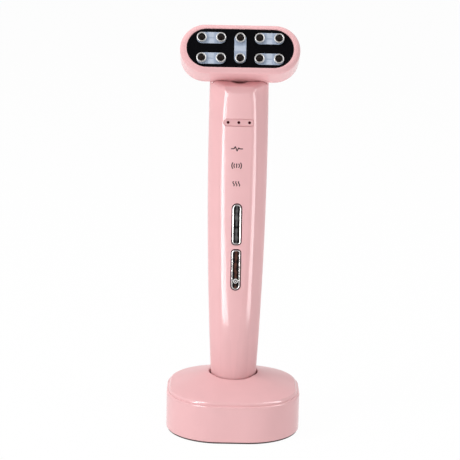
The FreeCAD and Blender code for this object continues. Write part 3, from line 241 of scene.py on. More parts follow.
# Charging pins and their springs
# Two turned, gold-plated pins that stand in the block's bores, each on a small coil of spring steel.
# The wand's contacts rest just above their round tips.
GILT = (0.83, 0.58, 0.22)
PIN_RADIUS = 1.0
PIN_FLANGE = 0.75
FLANGE_CHAMFER = 0.1
PIN_TIP_ROUND = 0.7
LATHE_STEPS = 48
SPRING_TURNS = 5.0
SPRING_WIRE = 0.125
COIL_STEPS = 24
WIRE_STEPS = 10


def lathe(name, profile, place):
    """Return a turned mesh: profile gives (radius, height) from bottom to top, place is its axis."""
    turns = [2 * math.pi * step / LATHE_STEPS for step in range(LATHE_STEPS)]
    rings = [
        [(place[0] + radius * math.cos(turn), place[1] + radius * math.sin(turn), z) for turn in turns]
        for radius, z in profile
    ]
    return skin(name, rings)


def settled(holder, name):
    """Return the finished mesh of a helper object, which is removed."""
    depsgraph = bpy.context.evaluated_depsgraph_get()
    mesh = bpy.data.meshes.new_from_object(holder.evaluated_get(depsgraph))
    mesh.name = name
    bpy.data.objects.remove(holder)
    return mesh


def move(mesh, x, y, z, tip=0.0):
    """Tip a mesh up by an angle in degrees, then move it by distances in millimetres."""
    mesh.transform(Matrix.Translation(Vector((x, y, z)) * MM) @ Matrix.Rotation(math.radians(tip), 4, "X"))


def grown(name, sizes, build, material):
    """Return a plain mesh from a geometry node tree whose named inputs are sizes, in metres."""
    tree = bpy.data.node_groups.new(name, "GeometryNodeTree")
    tree.interface.new_socket("Geometry", in_out="OUTPUT", socket_type="NodeSocketGeometry")
    for label in sizes:
        tree.interface.new_socket(label, in_out="INPUT", socket_type="NodeSocketFloat")
    start = tree.nodes.new("NodeGroupInput")
    single = wired(tree, "GeometryNodeRealizeInstances", {"Geometry": build(tree, start.outputs)})
    paint = wired(tree, "GeometryNodeSetMaterial", {"Geometry": single, "Material": material})
    wired(tree, "NodeGroupOutput", {"Geometry": paint})
    holder = placed(name + "_holder", bpy.data.meshes.new(name + "_holder"))
    modifier = holder.modifiers.new("grow", "NODES")
    modifier.node_group = tree
    for item in tree.interface.items_tree:
        if item.in_out == "INPUT":
            modifier[item.identifier] = sizes[item.name]
    return settled(holder, name)


def spring_coil(tree, sizes):
    """Build a coil of round wire along Z."""
    radii = {"Start Radius": sizes["Coil radius"], "End Radius": sizes["Coil radius"]}
    turns = {"Rotations": sizes["Turns"], "Height": sizes["Height"], "Resolution": COIL_STEPS}
    spiral = wired(tree, "GeometryNodeCurveSpiral", {**radii, **turns})
    section = {"Radius": sizes["Wire radius"], "Resolution": WIRE_STEPS}
    wire = wired(tree, "GeometryNodeCurvePrimitiveCircle", section)
    sweep = {"Curve": spiral, "Profile Curve": wire, "Fill Caps": True}
    return wired(tree, "GeometryNodeCurveToMesh", sweep)


gilt = grained("gilt", GILT, 0.22, metallic=1.0, grain=1500, mottle=0.05, depth=0.004)
spring_steel = brushed("spring_steel", STEEL, 0.25, stretch=(1, 1, 4))
for side in ("left", "right"):
    pin = "charge_pin_" + side
    pin_low, pin_high = node_box(pin)
    pin_x = (pin_low.x + pin_high.x) / 2
    flange_radius = pin_high.x - pin_x
    flange_top = pin_low.z + PIN_FLANGE
    pin_profile = [
        (flange_radius - FLANGE_CHAMFER, pin_low.z),
        (flange_radius, pin_low.z + FLANGE_CHAMFER),
        (flange_radius, flange_top - FLANGE_CHAMFER),
        (flange_radius - FLANGE_CHAMFER, flange_top),
        (PIN_RADIUS, flange_top),
    ]
    for inset, z in rounded(0, pin_high.z, PIN_TIP_ROUND, steps=6):
        pin_profile.append((PIN_RADIUS - inset, z))
    add_piece(lathe("pin_" + side, pin_profile, (pin_x, 0)), gilt, pin, "gilt", pin)
    spring_low, spring_high = node_box("pin_spring_" + side)
    spring_sizes = {
        "Turns": SPRING_TURNS,
        "Coil radius": ((spring_high.x - spring_low.x) / 2 - SPRING_WIRE) * MM,
        "Height": (spring_high.z - spring_low.z - 2 * SPRING_WIRE) * MM,
        "Wire radius": SPRING_WIRE * MM,
    }
    coil = grown("coil_" + side, spring_sizes, spring_coil, spring_steel)
    move(coil, pin_x, 0, spring_low.z + SPRING_WIRE)
    spring = add_piece(coil, spring_steel, "stand", "steel", "pin_spring_" + side)
    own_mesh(spring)

# Charging board and socket
# Green glass-fibre board behind the contact block, with the steel shell and dark tongue of the
# charging socket soldered to it. The shell ends just inside the back wall.
BOARD_GREEN = (0.012, 0.10, 0.045)
TRACK_GREEN = (0.03, 0.20, 0.09)
TRACK_SCALE = 260.0
TRACK_WIDTH = 0.035


def circuit_board(name):
    """Return solder mask with paler tracks under it, drawn by a brick pattern."""
    material = grained(name, BOARD_GREEN, 0.35, grain=500, mottle=0.1, depth=0.01)
    tree = material.node_tree
    spot = tree.nodes["Texture Coordinate"].outputs["Object"]
    turned = wired(tree, "ShaderNodeMapping", {"Vector": spot, "Rotation": (math.pi / 2, 0, 0)})
    colours = {"Color1": (*BOARD_GREEN, 1), "Color2": (*BOARD_GREEN, 1), "Mortar": (*TRACK_GREEN, 1)}
    pattern = {"Vector": turned, "Scale": TRACK_SCALE, "Mortar Size": TRACK_WIDTH}
    tracks = wired(tree, "ShaderNodeTexBrick", {**pattern, **colours})
    feed(tree, tree.nodes["Principled BSDF"], {"Base Color": tracks})
    return material


green_board = circuit_board("green_board")
dress(green_board, "stand_board", "main_board", "led_board")
dress(dark_plastic, "usb_tongue")
socket_shell = merged("usb_shell", "socket_shell")
socket_steel = brushed("socket_steel", STEEL, 0.25, stretch=(1, 12, 1))
add_piece(socket_shell, socket_steel, "stand", "steel", "usb_shell")

# Wall ring
# Pink polished ring moulded with round edges, the side wall of the stand.
# The back wall has the opening of the charging socket.
PINK = (0.775, 0.452, 0.464)
WALL = 2.2
WALL_TOP_ROUND = 0.8
WALL_TOP = 15.9
WALL_LOW_ROUND = 0.35
WALL_FOOT = 0.5
ROUND_MARGIN = 0.6
OPENING_GAP = 0.1
PILL_STEPS = 24


def pill_ring(width, height, z):
    """Return points (x, y, z) round a pill that lies along x."""
    radius = height / 2
    reach = width / 2 - radius
    points = []
    for side in (1, -1):
        for step in range(PILL_STEPS + 1):
            turn = math.pi * (step / PILL_STEPS - 0.5)
            points.append((side * (reach + radius * math.cos(turn)), side * radius * math.sin(turn), z))
        for step in range(1, PILL_STEPS):
            points.append((side * reach * (1 - 2 * step / PILL_STEPS), side * radius, z))
    return points


def carve(mesh, *tools):
    """Return a mesh cut by other meshes, one after the other."""
    body = placed("carved", mesh)
    cutters = [placed("cutter", tool) for tool in tools]
    for cutter in cutters:
        cut = body.modifiers.new("cut", "BOOLEAN")
        cut.operation = "DIFFERENCE"
        cut.solver = "EXACT"
        cut.object = cutter
    result = settled(body, mesh.name + "_carved")
    for cutter in cutters:
        bpy.data.objects.remove(cutter)
    return result


# One pink plastic with two finishes: polished, and satin with a weaker shine.
pink_gloss = grained("pink_gloss", PINK, 0.12, grain=140, mottle=0.012, depth=0.004, specular=0.3)
pink_satin = grained("pink_satin", PINK, 0.3, grain=140, mottle=0.012, depth=0.004, specular=0.1)
wall_profile = [
    (WALL, stand_low.z),
    (WALL_LOW_ROUND + WALL_FOOT, stand_low.z),
    *reversed(rounded(0, stand_low.z, WALL_LOW_ROUND, steps=6, up=-1)),
    (0, stand_low.z + WALL_LOW_ROUND + ROUND_MARGIN),
    (0, (stand_low.z + WALL_TOP) / 2),
    (0, WALL_TOP - WALL_TOP_ROUND - ROUND_MARGIN),
    *rounded(0, WALL_TOP, WALL_TOP_ROUND, steps=8),
    (WALL, WALL_TOP),
]
wall_rings = [stand_ring(inset, z, all_round) for inset, z in wall_profile]
usb_low, usb_high = node_box("usb_shell")
opening_rings = [
    pill_ring(usb_high.x - usb_low.x + 2 * OPENING_GAP, usb_high.z - usb_low.z + 2 * OPENING_GAP, depth)
    for depth in (-stand_half - WALL, -stand_half + 2 * WALL)
]
opening = skin("opening", opening_rings)
move(opening, 0, 0, (usb_low.z + usb_high.z) / 2, tip=90)
wall_ring = carve(skin("wall_ring", wall_rings, closed=True), opening)
wall_piece = add_piece(wall_ring, pink_gloss, "stand", "pink_gloss", "stand_body")

# Domed cover
# Pink moulding on top of the wall ring, satin with a polished foot, rising in a soft cone to the socket
# that holds the wand. A tongue seats it in the ring, and a collar under the opening guides the wand.
WAND_BOTTOM = 8.0
HANDLE_TOP = 143.0
HANDLE_HALF = 12.1
HANDLE_TAPER = 3.5
HANDLE_WIDEST = 0.817
FACET = 11.7
FACET_CROWN = 0.22
FACET_HALF = 6.65
FACET_TAPER = 2.75
FACET_WIDEST = 0.75
SETBACK = 2.0
SETBACK_SHARE = 0.37
SETBACK_POWER = 1.5
EDGE_ROUND = 4.4
EDGE_TAPER = 2.6
EDGE_SWELL = 4.5
EDGE_LEAST = 0.1
FLAT_LEAST = 0.5
FLAT_TRIES = 5
NECK_START = 124.0
NECK_CLOSING = 0.9
SPLIT = 1.0
DOME_HEIGHT = 9.2
DOME_TOP_HALF = 8.6
DOME_BULGE = 1.03
DOME_RISE_BULGE = 1.03
DOME_EDGE = 0.9
COVER_WALL = 1.8
COVER_FOOT = 1.1
FOOT_GROOVE = 0.05
FOOT_SINK = 0.1
FOOT_SHINE = 0.3
SOCKET_GAP = 0.7
SOCKET_LIP = 0.6
RIM_SHARE = 0.66
LIP_ROWS = (2.0, 1.3)
COLLAR_WALL = 1.4
COLLAR_BOTTOM = 9.0
TONGUE_GAP = 0.1
TONGUE_DROP = 3.0
TONGUE_WALL = 1.2
CEILING_SHARES = (0.25, 0.5, 0.75, 1.0)
COVER_STEPS = 40
COVER_SPACING = 2.2
HALVINGS = 30
FACET_STEPS = 8
FACET_SPACING = 1.6
EDGE_STEPS = 10
SIDE_STEPS = 6
FLANK_STEPS = 10
BACK_STEPS = 18
SEAM_HALF = 0.1


def wand_share(z):
    """Return a height as a share of the handle's length."""
    return (z - WAND_BOTTOM) / (HANDLE_TOP - WAND_BOTTOM)


def handle_half(z):
    """Return half the wand's width at a height."""
    return HANDLE_HALF - HANDLE_TAPER * ((wand_share(z) - HANDLE_WIDEST) / HANDLE_WIDEST) ** 2


def front_edge(z, inset):
    """Return the place of the wand's front at a height, its edge round and the lean of its sides."""
    share = wand_share(z)
    roundness = max(1 - share / SETBACK_SHARE, 0.0) ** SETBACK_POWER
    front = FACET - SETBACK * roundness
    neck = max(z - NECK_START, 0) / (HANDLE_TOP - NECK_START)
    taper = FACET_TAPER * ((share - FACET_WIDEST) / FACET_WIDEST) ** 2
    corner = FACET_HALF - taper - NECK_CLOSING * neck**2
    edge_round = max(EDGE_ROUND - EDGE_TAPER * share + EDGE_SWELL * roundness - inset, EDGE_LEAST)
    lean = math.asin(handle_half(z) / math.hypot(corner, front)) - math.atan2(corner, front)
    return front - inset, edge_round, lean


def wand_outline(z, inset, seam=0.0):
    """Return points (x, y) round the wand: a front with a slight crown, round edges and a round back."""
    front, edge_round, lean = front_edge(z, inset)
    radius = handle_half(z) - inset
    flat = radius / 2
    for attempt in range(FLAT_TRIES):
        tilt = math.atan(2 * FACET_CROWN / flat)
        lift = FACET_CROWN - front + edge_round * math.cos(tilt)
        reach = (radius - edge_round + lift * math.sin(lean)) / math.cos(lean)
        flat = max(reach + edge_round * math.sin(tilt), FLAT_LEAST)
    right = []
    for step in range(FACET_STEPS):
        x = flat * (1 - (1 - step / FACET_STEPS) ** FACET_SPACING)
        right.append((x, -front + FACET_CROWN * (x / flat) ** 2))
    edge_x = flat - edge_round * math.sin(tilt)
    for step in range(EDGE_STEPS):
        turn = tilt + (math.pi / 2 - lean - tilt) * step / EDGE_STEPS
        right.append((edge_x + edge_round * math.sin(turn), lift - edge_round * math.cos(turn)))
    edge_end = Vector((edge_x + edge_round * math.cos(lean), lift - edge_round * math.sin(lean)))
    touch = Vector((radius * math.cos(lean), -radius * math.sin(lean)))
    for step in range(SIDE_STEPS):
        right.append(tuple(edge_end.lerp(touch, step / SIDE_STEPS)))
    seam_turn = math.asin(SPLIT / radius)
    seam_step = SEAM_HALF / radius
    for step in range(FLANK_STEPS):
        turn = -lean + (seam_turn - seam_step + lean) * step / FLANK_STEPS
        right.append((radius * math.cos(turn), radius * math.sin(turn)))
    for share, sunk in ((-1, 0.0), (0, seam), (1, 0.0)):
        turn = seam_turn + share * seam_step
        right.append(((radius - sunk) * math.cos(turn), (radius - sunk) * math.sin(turn)))
    for step in range(1, BACK_STEPS + 1):
        turn = seam_turn + seam_step + (math.pi / 2 - seam_turn - seam_step) * step / BACK_STEPS
        right.append((radius * math.cos(turn), radius * math.sin(turn)))
    left = [(-x, y) for x, y in reversed(right[1:-1])]
    return right + left


dome_base = stand_half - DOME_EDGE
dome_corner = STAND_CORNER - DOME_EDGE
dome_turn = math.acos((DOME_TOP_HALF / dome_base) ** (DOME_BULGE / 2))


def dome_station(share):
    """Return the half width, corner and height of the dome's outline, from its foot to its top."""
    turn = share * dome_turn
    half = dome_base * math.cos(turn) ** (2 / DOME_BULGE)
    squareness = (half - DOME_TOP_HALF) / (dome_base - DOME_TOP_HALF)
    corner = half - (dome_base - dome_corner) * half / dome_base * squareness
    rise = DOME_HEIGHT * math.sin(turn) ** (2 / DOME_RISE_BULGE)
    return half, corner, WALL_TOP + COVER_FOOT + rise


def dome_height(x, y):
    """Return the height of the dome over a point, by halving the range it can lie in."""
    angle = math.atan2(y, x)
    reach = math.hypot(x, y)
    low, high = 0.0, 1.0
    for step in range(HALVINGS):
        share = (low + high) / 2
        half, corner, z = dome_station(share)
        if square_reach(angle, half, corner) > reach:
            low = share
        else:
            high = share
    return dome_station(low)[2]


def round_drop(distance, radius):
    """Return how much a round edge lies below its top surface, at a distance from its wall."""
    if distance >= radius:
        return 0.0
    return radius - math.sqrt(radius**2 - (radius - max(distance, 0.0)) ** 2)


def edge_drop(x, y):
    """Return how much the cover's round foot lies below the dome, near its outer edge."""
    distance = square_reach(math.atan2(y, x), dome_base, dome_corner) - math.hypot(x, y)
    return round_drop(distance, COVER_FOOT)


def two_finishes(mesh, first, second, is_second):
    """Give a mesh two materials, the second for the faces that meet a test."""
    mesh.materials.append(first)
    mesh.materials.append(second)
    for face in mesh.polygons:
        face.material_index = int(is_second(face))


rim_outline = wand_outline(WALL_TOP + DOME_HEIGHT * RIM_SHARE, -SOCKET_GAP)
rim_angles = [math.atan2(y, x) for x, y in rim_outline]
cover_rings = [[(x, y, COLLAR_BOTTOM) for x, y in wand_outline(COLLAR_BOTTOM, -SOCKET_GAP)]]
for share in LIP_ROWS:
    cover_rings.append([(x, y, dome_height(x, y) - share * SOCKET_LIP) for x, y in rim_outline])
for distance, sunk in rounded(0, 0, SOCKET_LIP, steps=6):
    ring = []
    for x, y in rim_outline:
        length = math.hypot(x, y)
        x *= 1 + distance / length
        y *= 1 + distance / length
        ring.append((x, y, dome_height(x, y) + sunk))
    cover_rings.append(ring)
foot_outline = stand_ring(DOME_EDGE, 0, rim_angles)
for step in range(1, COVER_STEPS + 1):
    share = 1 - (1 - step / COVER_STEPS) ** COVER_SPACING
    ring = []
    for (x, y), (foot_x, foot_y, zero) in zip(rim_outline, foot_outline):
        start = 1 + SOCKET_LIP / math.hypot(x, y)
        x = x * start + (foot_x - x * start) * share
        y = y * start + (foot_y - y * start) * share
        ring.append((x, y, dome_height(x, y) - edge_drop(x, y)))
    cover_rings.append(ring)
tongue_inset = WALL + TONGUE_GAP
under_profile = [
    (DOME_EDGE + FOOT_GROOVE, WALL_TOP - FOOT_SINK),
    (tongue_inset, WALL_TOP - FOOT_SINK),
    (tongue_inset, WALL_TOP - TONGUE_DROP),
    (tongue_inset + TONGUE_WALL, WALL_TOP - TONGUE_DROP),
    (tongue_inset + TONGUE_WALL, WALL_TOP),
]
cover_rings += [stand_ring(inset, z, rim_angles) for inset, z in under_profile]
collar_outline = wand_outline(WALL_TOP, -SOCKET_GAP - COLLAR_WALL)
for share in CEILING_SHARES:
    ring = []
    for (x, y, z), (end_x, end_y) in zip(cover_rings[-1], collar_outline):
        x += (end_x - x) * share
        y += (end_y - y) * share
        ring.append((x, y, max(dome_height(x, y) - COVER_WALL, WALL_TOP)))
    cover_rings.append(ring)
cover_rings.append([(x, y, COLLAR_BOTTOM) for x, y in collar_outline])
domed_cover = skin("domed_cover", cover_rings, closed=True)
shine_top = (WALL_TOP + COVER_FOOT + FOOT_SHINE) * MM
two_finishes(domed_cover, pink_gloss, pink_satin, lambda face: face.center.z > shine_top)
cover_piece = add_piece(domed_cover, pink_gloss, "stand", "pink_gloss", "stand_cover")

# Cell, boards, motor and cable inside the handle
# A wrapped cell in a white tray, the main board with its chips and switches, the vibration motor in its
# rubber sleeve, and the amber film cable to the head, all closed in between the two shells.
WRAP_BLUE = (0.03, 0.12, 0.33)
TRAY_WHITE = (0.78, 0.78, 0.75)
CHIP_BLACK = (0.012, 0.012, 0.013)
DIODE = (0.82, 0.76, 0.50)
AMBER = (0.50, 0.24, 0.05)

white_plastic = grained("white_plastic", TRAY_WHITE, 0.5, grain=3000, mottle=0.03, depth=0.01)
clear_diode = grained("clear_diode", DIODE, 0.12, grain=1200, mottle=0.08, depth=0.003)
dress(grained("cell_wrap", WRAP_BLUE, 0.3, grain=300, mottle=0.12, depth=0.02), "battery_cell")
dress(white_plastic, "battery_tray", "light_baffle")
dress(grained("chip", CHIP_BLACK, 0.55, grain=6000, mottle=0.2, depth=0.01), "board_chips")
dress(clear_diode, "leds", "indicator_leds")
dress(dark_plastic, "mode_switch", "power_switch", "mode_switch_stem", "power_switch_stem")
dress(dark_rubber, "motor_sleeve")
dress(steel, "motor_can", "motor_shaft", "motor_weight", "board_screws", "neck_screws", "led_board_screws")
dress(grained("amber_film", AMBER, 0.25, grain=800, mottle=0.15, depth=0.003), "ribbon_cable")
dress(brushed("heater_metal", STEEL, 0.35, stretch=(12, 1, 1)), "heater_plate")

# End cap
# Pink moulding that closes the lower end of the handle, held by two screws, with two flat gold-plated
# contacts that meet the charging pins.
CAP_SHY = 0.02
CAP_ROUND = 0.3
CAP_SHARP = 25
dress(steel, "end_cap_screws")
end_cap = merged("handle_end_cap", "end_cap")
for vertex in end_cap.vertices:
    x, y, z = vertex.co / MM
    outline = wand_outline(max(z, WAND_BOTTOM), CAP_SHY + round_drop(z - WAND_BOTTOM, CAP_ROUND))
    facing = max(outline, key=lambda point: (point[0] * x + point[1] * y) / math.hypot(*point))
    share = min(math.hypot(*facing) / max(math.hypot(x, y), CAP_SHY), 1.0)
    vertex.co.x *= share
    vertex.co.y *= share
add_piece(end_cap, pink_gloss, "wand", "pink_gloss", "handle_end_cap", sharp=CAP_SHARP)
add_piece(merged("charge_contacts", "contacts"), gilt, "wand", "gilt", "charge_contacts")

# Handle shells
# Two pink mouldings that meet at a fine groove down the sides. The front one has satin faces, polished
# edges and openings for buttons and indicator. The rear one is polished, round and domed at its top.
SHELL_BOTTOM = 10.0
HANDLE_WALL = 1.6
SHOULDER = 146.0
SHOULDER_ROUND = 9.0
BEVEL_SLOPE = 0.36
BEVEL_EDGE = 0.9
BEVEL_BACK = -2.7
CROWN_ROUND = 1.5
CROWN_FRONT = 1.0
CROWN_FADE = 3.0
SCOOP_RADIUS = 8.0
SCOOP_LEVEL = 153.0
SEAT_LEVEL = 143.1
SEAT_SLOPE = 0.51
TOP_START = 138.0
LENGTH_STEPS = 110
CROWN_STEPS = 12
TOP_STEPS = 44
CAVITY_TOP = 140.5
CAVITY_BOTTOM = 9.0
CAVITY_STEPS = 39
SEAM_DEPTH = 0.25
BUTTON_WIDTH = 3.45
BUTTON_LENGTH = 16.65
BUTTON_CORNER = 1.2
CORNER_LEAST = 0.12
END_STEPS = 24
LONG_STEPS = 14
CORNER_STEPS = 8
MODE_Z = 88.29
POWER_Z = 69.3
BUTTONS = (("mode", MODE_Z, True), ("power", POWER_Z, False))
SLOT_GROW = 0.44
CUTTER_PROUD = 2.0
INDICATOR_Z = 130.0
INDICATOR_WIDTH = 12.4
INDICATOR_HEIGHT = 3.1
INDICATOR_SINK = 0.35
POCKET_FLOOR = 1.2
FLANK_FACING = 0.7
FACET_FACING = 0.9975


def top_height(x, y):
    """Return the height of the wand's top: bevel, scoop and the head's seat in front, shoulder behind."""
    flat = handle_half(SHOULDER) - SHOULDER_ROUND
    over = min(max(math.hypot(x, y) - flat, 0.0), SHOULDER_ROUND)
    shoulder = SHOULDER + math.sqrt(SHOULDER_ROUND**2 - over**2)
    if y > BEVEL_BACK:
        return shoulder
    bevel = HANDLE_TOP + min(y + FACET, BEVEL_EDGE + BEVEL_SLOPE * (y + FACET))
    scoop = SCOOP_LEVEL - math.sqrt(max(SCOOP_RADIUS**2 - x * x, 0.0))
    seat = SEAT_LEVEL - SEAT_SLOPE * y
    return min(bevel, scoop, seat, shoulder)


def crown_round(y):
    """Return the radius of the round edge between the wand's walls and its top, none at the back."""
    return CROWN_ROUND * min(max((-y - CROWN_FRONT) / CROWN_FADE, 0.0), 1.0)


def button_outline(grow, upper):
    """Return points (x, height) round a button, fully round at its outer end, squarer at the other."""
    half_width = BUTTON_WIDTH / 2 + grow
    half_length = BUTTON_LENGTH / 2 + grow
    corner = max(BUTTON_CORNER + grow, CORNER_LEAST)
    points = []
    for step in range(END_STEPS + 1):
        turn = math.pi * step / END_STEPS
        points.append((half_width * math.cos(turn), half_length - half_width + half_width * math.sin(turn)))
    straight = 2 * half_length - half_width - corner
    for step in range(1, LONG_STEPS):
        points.append((-half_width, half_length - half_width - straight * step / LONG_STEPS))
    for side, start in ((-1, math.pi), (1, 1.5 * math.pi)):
        for step in range(CORNER_STEPS + 1):
            turn = start + math.pi / 2 * step / CORNER_STEPS
            x = side * (half_width - corner) + corner * math.cos(turn)
            points.append((x, -half_length + corner + corner * math.sin(turn)))
    for step in range(1, LONG_STEPS):
        points.append((half_width, -half_length + corner + straight * step / LONG_STEPS))
    turn_over = 1 if upper else -1
    return [(x * turn_over, z * turn_over) for x, z in points]


def indicator_outline(inset):
    """Return points (x, height) round the indicator's pill, in by an inset."""
    ring = pill_ring(INDICATOR_WIDTH - 2 * inset, INDICATOR_HEIGHT - 2 * inset, 0)
    return [(x, up) for x, up, zero in ring]


def facet_rings(outlines, z):
    """Return rings on the front face: each outline has its points and its height above the face."""
    return [[(x, -FACET - rise, z + up) for x, up in points] for points, rise in outlines]


def facet_cutter(name, outline, depth, z):
    """Return a cutter that sinks an outline into the front face."""
    return skin(name, facet_rings([(outline, CUTTER_PROUD), (outline, -depth)], z))


def half_shell(name, mesh, side):
    """Return the part of a mesh in front of (-1) or behind (1) the split, with its cut faces closed."""
    shape = bmesh.new()
    shape.from_mesh(mesh)
    everything = [*shape.verts, *shape.edges, *shape.faces]
    bmesh.ops.bisect_plane(
        shape,
        geom=everything,
        dist=MICRON,
        plane_co=(0, SPLIT * MM, 0),
        plane_no=(0, side, 0),
        clear_inner=True,
    )
    rim = [edge for edge in shape.edges if edge.is_boundary]
    bmesh.ops.triangle_fill(shape, use_beauty=True, edges=rim)
    bmesh.ops.recalc_face_normals(shape, faces=shape.faces)
    return solid(name, shape)


shell_rings = []
for step in range(LENGTH_STEPS + 1):
    z = SHELL_BOTTOM + (TOP_START - SHELL_BOTTOM) * step / LENGTH_STEPS
    shell_rings.append([(x, y, z) for x, y in wand_outline(z, 0, SEAM_DEPTH)])
rim_heights = [top_height(x, y) - crown_round(y) for x, y in wand_outline(HANDLE_TOP, 0)]
for step in range(1, CROWN_STEPS + 1):
    ring = []
    for place, rim in enumerate(rim_heights):
        z = TOP_START + (rim - TOP_START) * step / CROWN_STEPS
        x, y = wand_outline(z, 0, SEAM_DEPTH)[place]
        ring.append((x, y, z))
    shell_rings.append(ring)
crown = shell_rings[-1]
for step in range(1, TOP_STEPS):
    share = math.cos(math.pi / 2 * step / TOP_STEPS)
    ring = []
    for x, y, z in crown:
        drop = round_drop((1 - share) * math.hypot(x, y), crown_round(y))
        ring.append((x * share, y * share, top_height(x * share, y * share) - drop))
    shell_rings.append(ring)
handle_outside = skin("handle_outside", shell_rings)
cavity_rings = []
for step in range(CAVITY_STEPS + 1):
    z = CAVITY_BOTTOM + (CAVITY_TOP - CAVITY_BOTTOM) * step / CAVITY_STEPS
    cavity_rings.append([(x, y, z) for x, y in wand_outline(z, HANDLE_WALL)])
tools = [skin("cavity", cavity_rings)]
for name, z, upper in BUTTONS:
    tools.append(facet_cutter("slot", button_outline(SLOT_GROW, upper), 2 * HANDLE_WALL, z))
tools.append(facet_cutter("pocket", indicator_outline(0), POCKET_FLOOR, INDICATOR_Z))
hollow_handle = carve(handle_outside, *tools)
front_half = half_shell("front_shell", hollow_handle, -1)
two_finishes(
    front_half,
    pink_gloss,
    pink_satin,
    lambda face: not FLANK_FACING < -face.normal.y < FACET_FACING,
)
front_piece = add_piece(front_half, pink_gloss, "wand", "pink_gloss", "handle_front_shell")
add_piece(half_shell("rear_shell", hollow_handle, 1), pink_gloss, "wand", "pink_gloss", "handle_rear_shell")

# Indicator strip and its lights
# Tinted clear strip sunk into a long round-ended pocket of the front shell, with three small dark lenses
# of light pipe that come through it.
STRIP_GAP = 0.06
STRIP_THICKNESS = 0.75
STRIP_EDGE = 0.25
LIGHT_COUNT = 3
LIGHT_PITCH = 4.3
LIGHT_RADIUS = 0.6
LENS_SHARE = 0.25
LENS_STEPS = {"Segments": 32, "Rings": 16}
STRIP_PINK = (0.775, 0.452, 0.464)
LENS_MAROON = (0.045, 0.006, 0.009)


def light_row(tree, sizes):
    """Build three flat lenses in a row along X, centred on the origin."""
    pitch = wired(tree, "ShaderNodeCombineXYZ", {"X": sizes["Pitch"]})
    first = wired(tree, "ShaderNodeVectorMath", {0: pitch, "Scale": -1}, operation="SCALE")
    ends = {"Count": LIGHT_COUNT, "Start Location": first, "Offset": pitch}
    line = wired(tree, "GeometryNodeMeshLine", ends)
    lens = wired(tree, "GeometryNodeMeshUVSphere", {"Radius": sizes["Radius"], **LENS_STEPS})
    flat = wired(tree, "GeometryNodeTransform", {"Geometry": lens, "Scale": (1, LENS_SHARE, 1)})
    return wired(tree, "GeometryNodeInstanceOnPoints", {"Points": line, "Instance": flat})


strip_profile = [
    (STRIP_GAP, -INDICATOR_SINK - STRIP_THICKNESS),
    *rounded(STRIP_GAP, -INDICATOR_SINK, STRIP_EDGE, steps=5),
]
strip_outlines = [(indicator_outline(inset), rise) for inset, rise in strip_profile]
strip = skin("strip", facet_rings(strip_outlines, INDICATOR_Z))
clear_pink = grained("clear_pink", STRIP_PINK, 0.08, grain=200, mottle=0.03, depth=0.004, specular=0.4)
add_piece(strip, clear_pink, "wand", "clear_pink", "indicator_bar")
dark_lens = grained("dark_lens", LENS_MAROON, 0.12, grain=900, mottle=0.2, depth=0.003)
light_sizes = {"Pitch": LIGHT_PITCH * MM, "Radius": LIGHT_RADIUS * MM}
lenses = grown("lenses", light_sizes, light_row, dark_lens)
move(lenses, 0, -FACET + INDICATOR_SINK, INDICATOR_Z)
add_piece(lenses, dark_lens, "wand", "light_pipe", "indicator_lights")

# Mode marks
# Three small signs printed in dark ink on the front face under the indicator: a pulse, a tremble and
# rising heat, one for each mode.
INK = (0.030, 0.012, 0.014)
MARK_STROKE = 0.42
MARK_THICKNESS = 0.1
MARK_X = -0.5
PULSE_Z = 119.4
TREMBLE_Z = 112.5
HEAT_Z = 105.1
STROKE_STEPS = 3
ARC_STEPS = 16
WAVE_STEPS = 12
WAVE_SWING = 0.28
WAVE_PITCH = 1.1


def strokes(name, lines, width):
    """Return flat rounded strokes along lines of points (x, height), lying on the plane y = 0."""
    curve = bpy.data.curves.new(name, "CURVE")
    curve.dimensions = "3D"
    curve.bevel_depth = width / 2 * MM
    curve.bevel_resolution = STROKE_STEPS
    curve.use_fill_caps = True
    for points in lines:
        spline = curve.splines.new("POLY")
        spline.points.add(len(points) - 1)
        for point, (x, up) in zip(spline.points, points):
            point.co = (x * MM, 0, up * MM, 1)
    mesh = settled(placed(name + "_line", curve), name)
    mesh.transform(Matrix.Diagonal((1, MARK_THICKNESS / width, 1, 1)))
    return mesh


def arc(radius, start, end):
    """Return points (x, height) along an arc round the origin, between two angles in degrees."""
    angles = [math.radians(start + (end - start) * step / ARC_STEPS) for step in range(ARC_STEPS + 1)]
    return [(radius * math.cos(angle), radius * math.sin(angle)) for angle in angles]


def heat_wave(x):
    """Return points (x, height) along one rising wave."""
    shares = [2 * step / WAVE_STEPS for step in range(WAVE_STEPS + 1)]
    return [(x + WAVE_SWING * math.sin(math.pi * share), share - 1) for share in shares]


pulse = [(-2.4, 0), (-1.2, 0), (-0.7, 0.95), (0.05, -0.95), (0.65, 0.5), (1.0, 0), (2.4, 0)]
tremble = [
    [(0, -0.9), (0, 0.9)],
    arc(1.1, -48, 48),
    arc(1.1, 132, 228),
    arc(1.95, -40, 40),
    arc(1.95, 140, 220),
]
marks = {
    "pulse_mark": (list(zip(pulse, pulse[1:])), PULSE_Z),
    "tremble_mark": (tremble, TREMBLE_Z),
    "heat_mark": ([heat_wave(x) for x in (-WAVE_PITCH, 0, WAVE_PITCH)], HEAT_Z),
}
ink = grained("ink", INK, 0.45, grain=3000, mottle=0.2, depth=0.002)
for name, (lines, z) in marks.items():
    mark = strokes(name, lines, MARK_STROKE)
    move(mark, MARK_X, -FACET, z)
    add_piece(mark, ink, "wand", "dark_plastic")

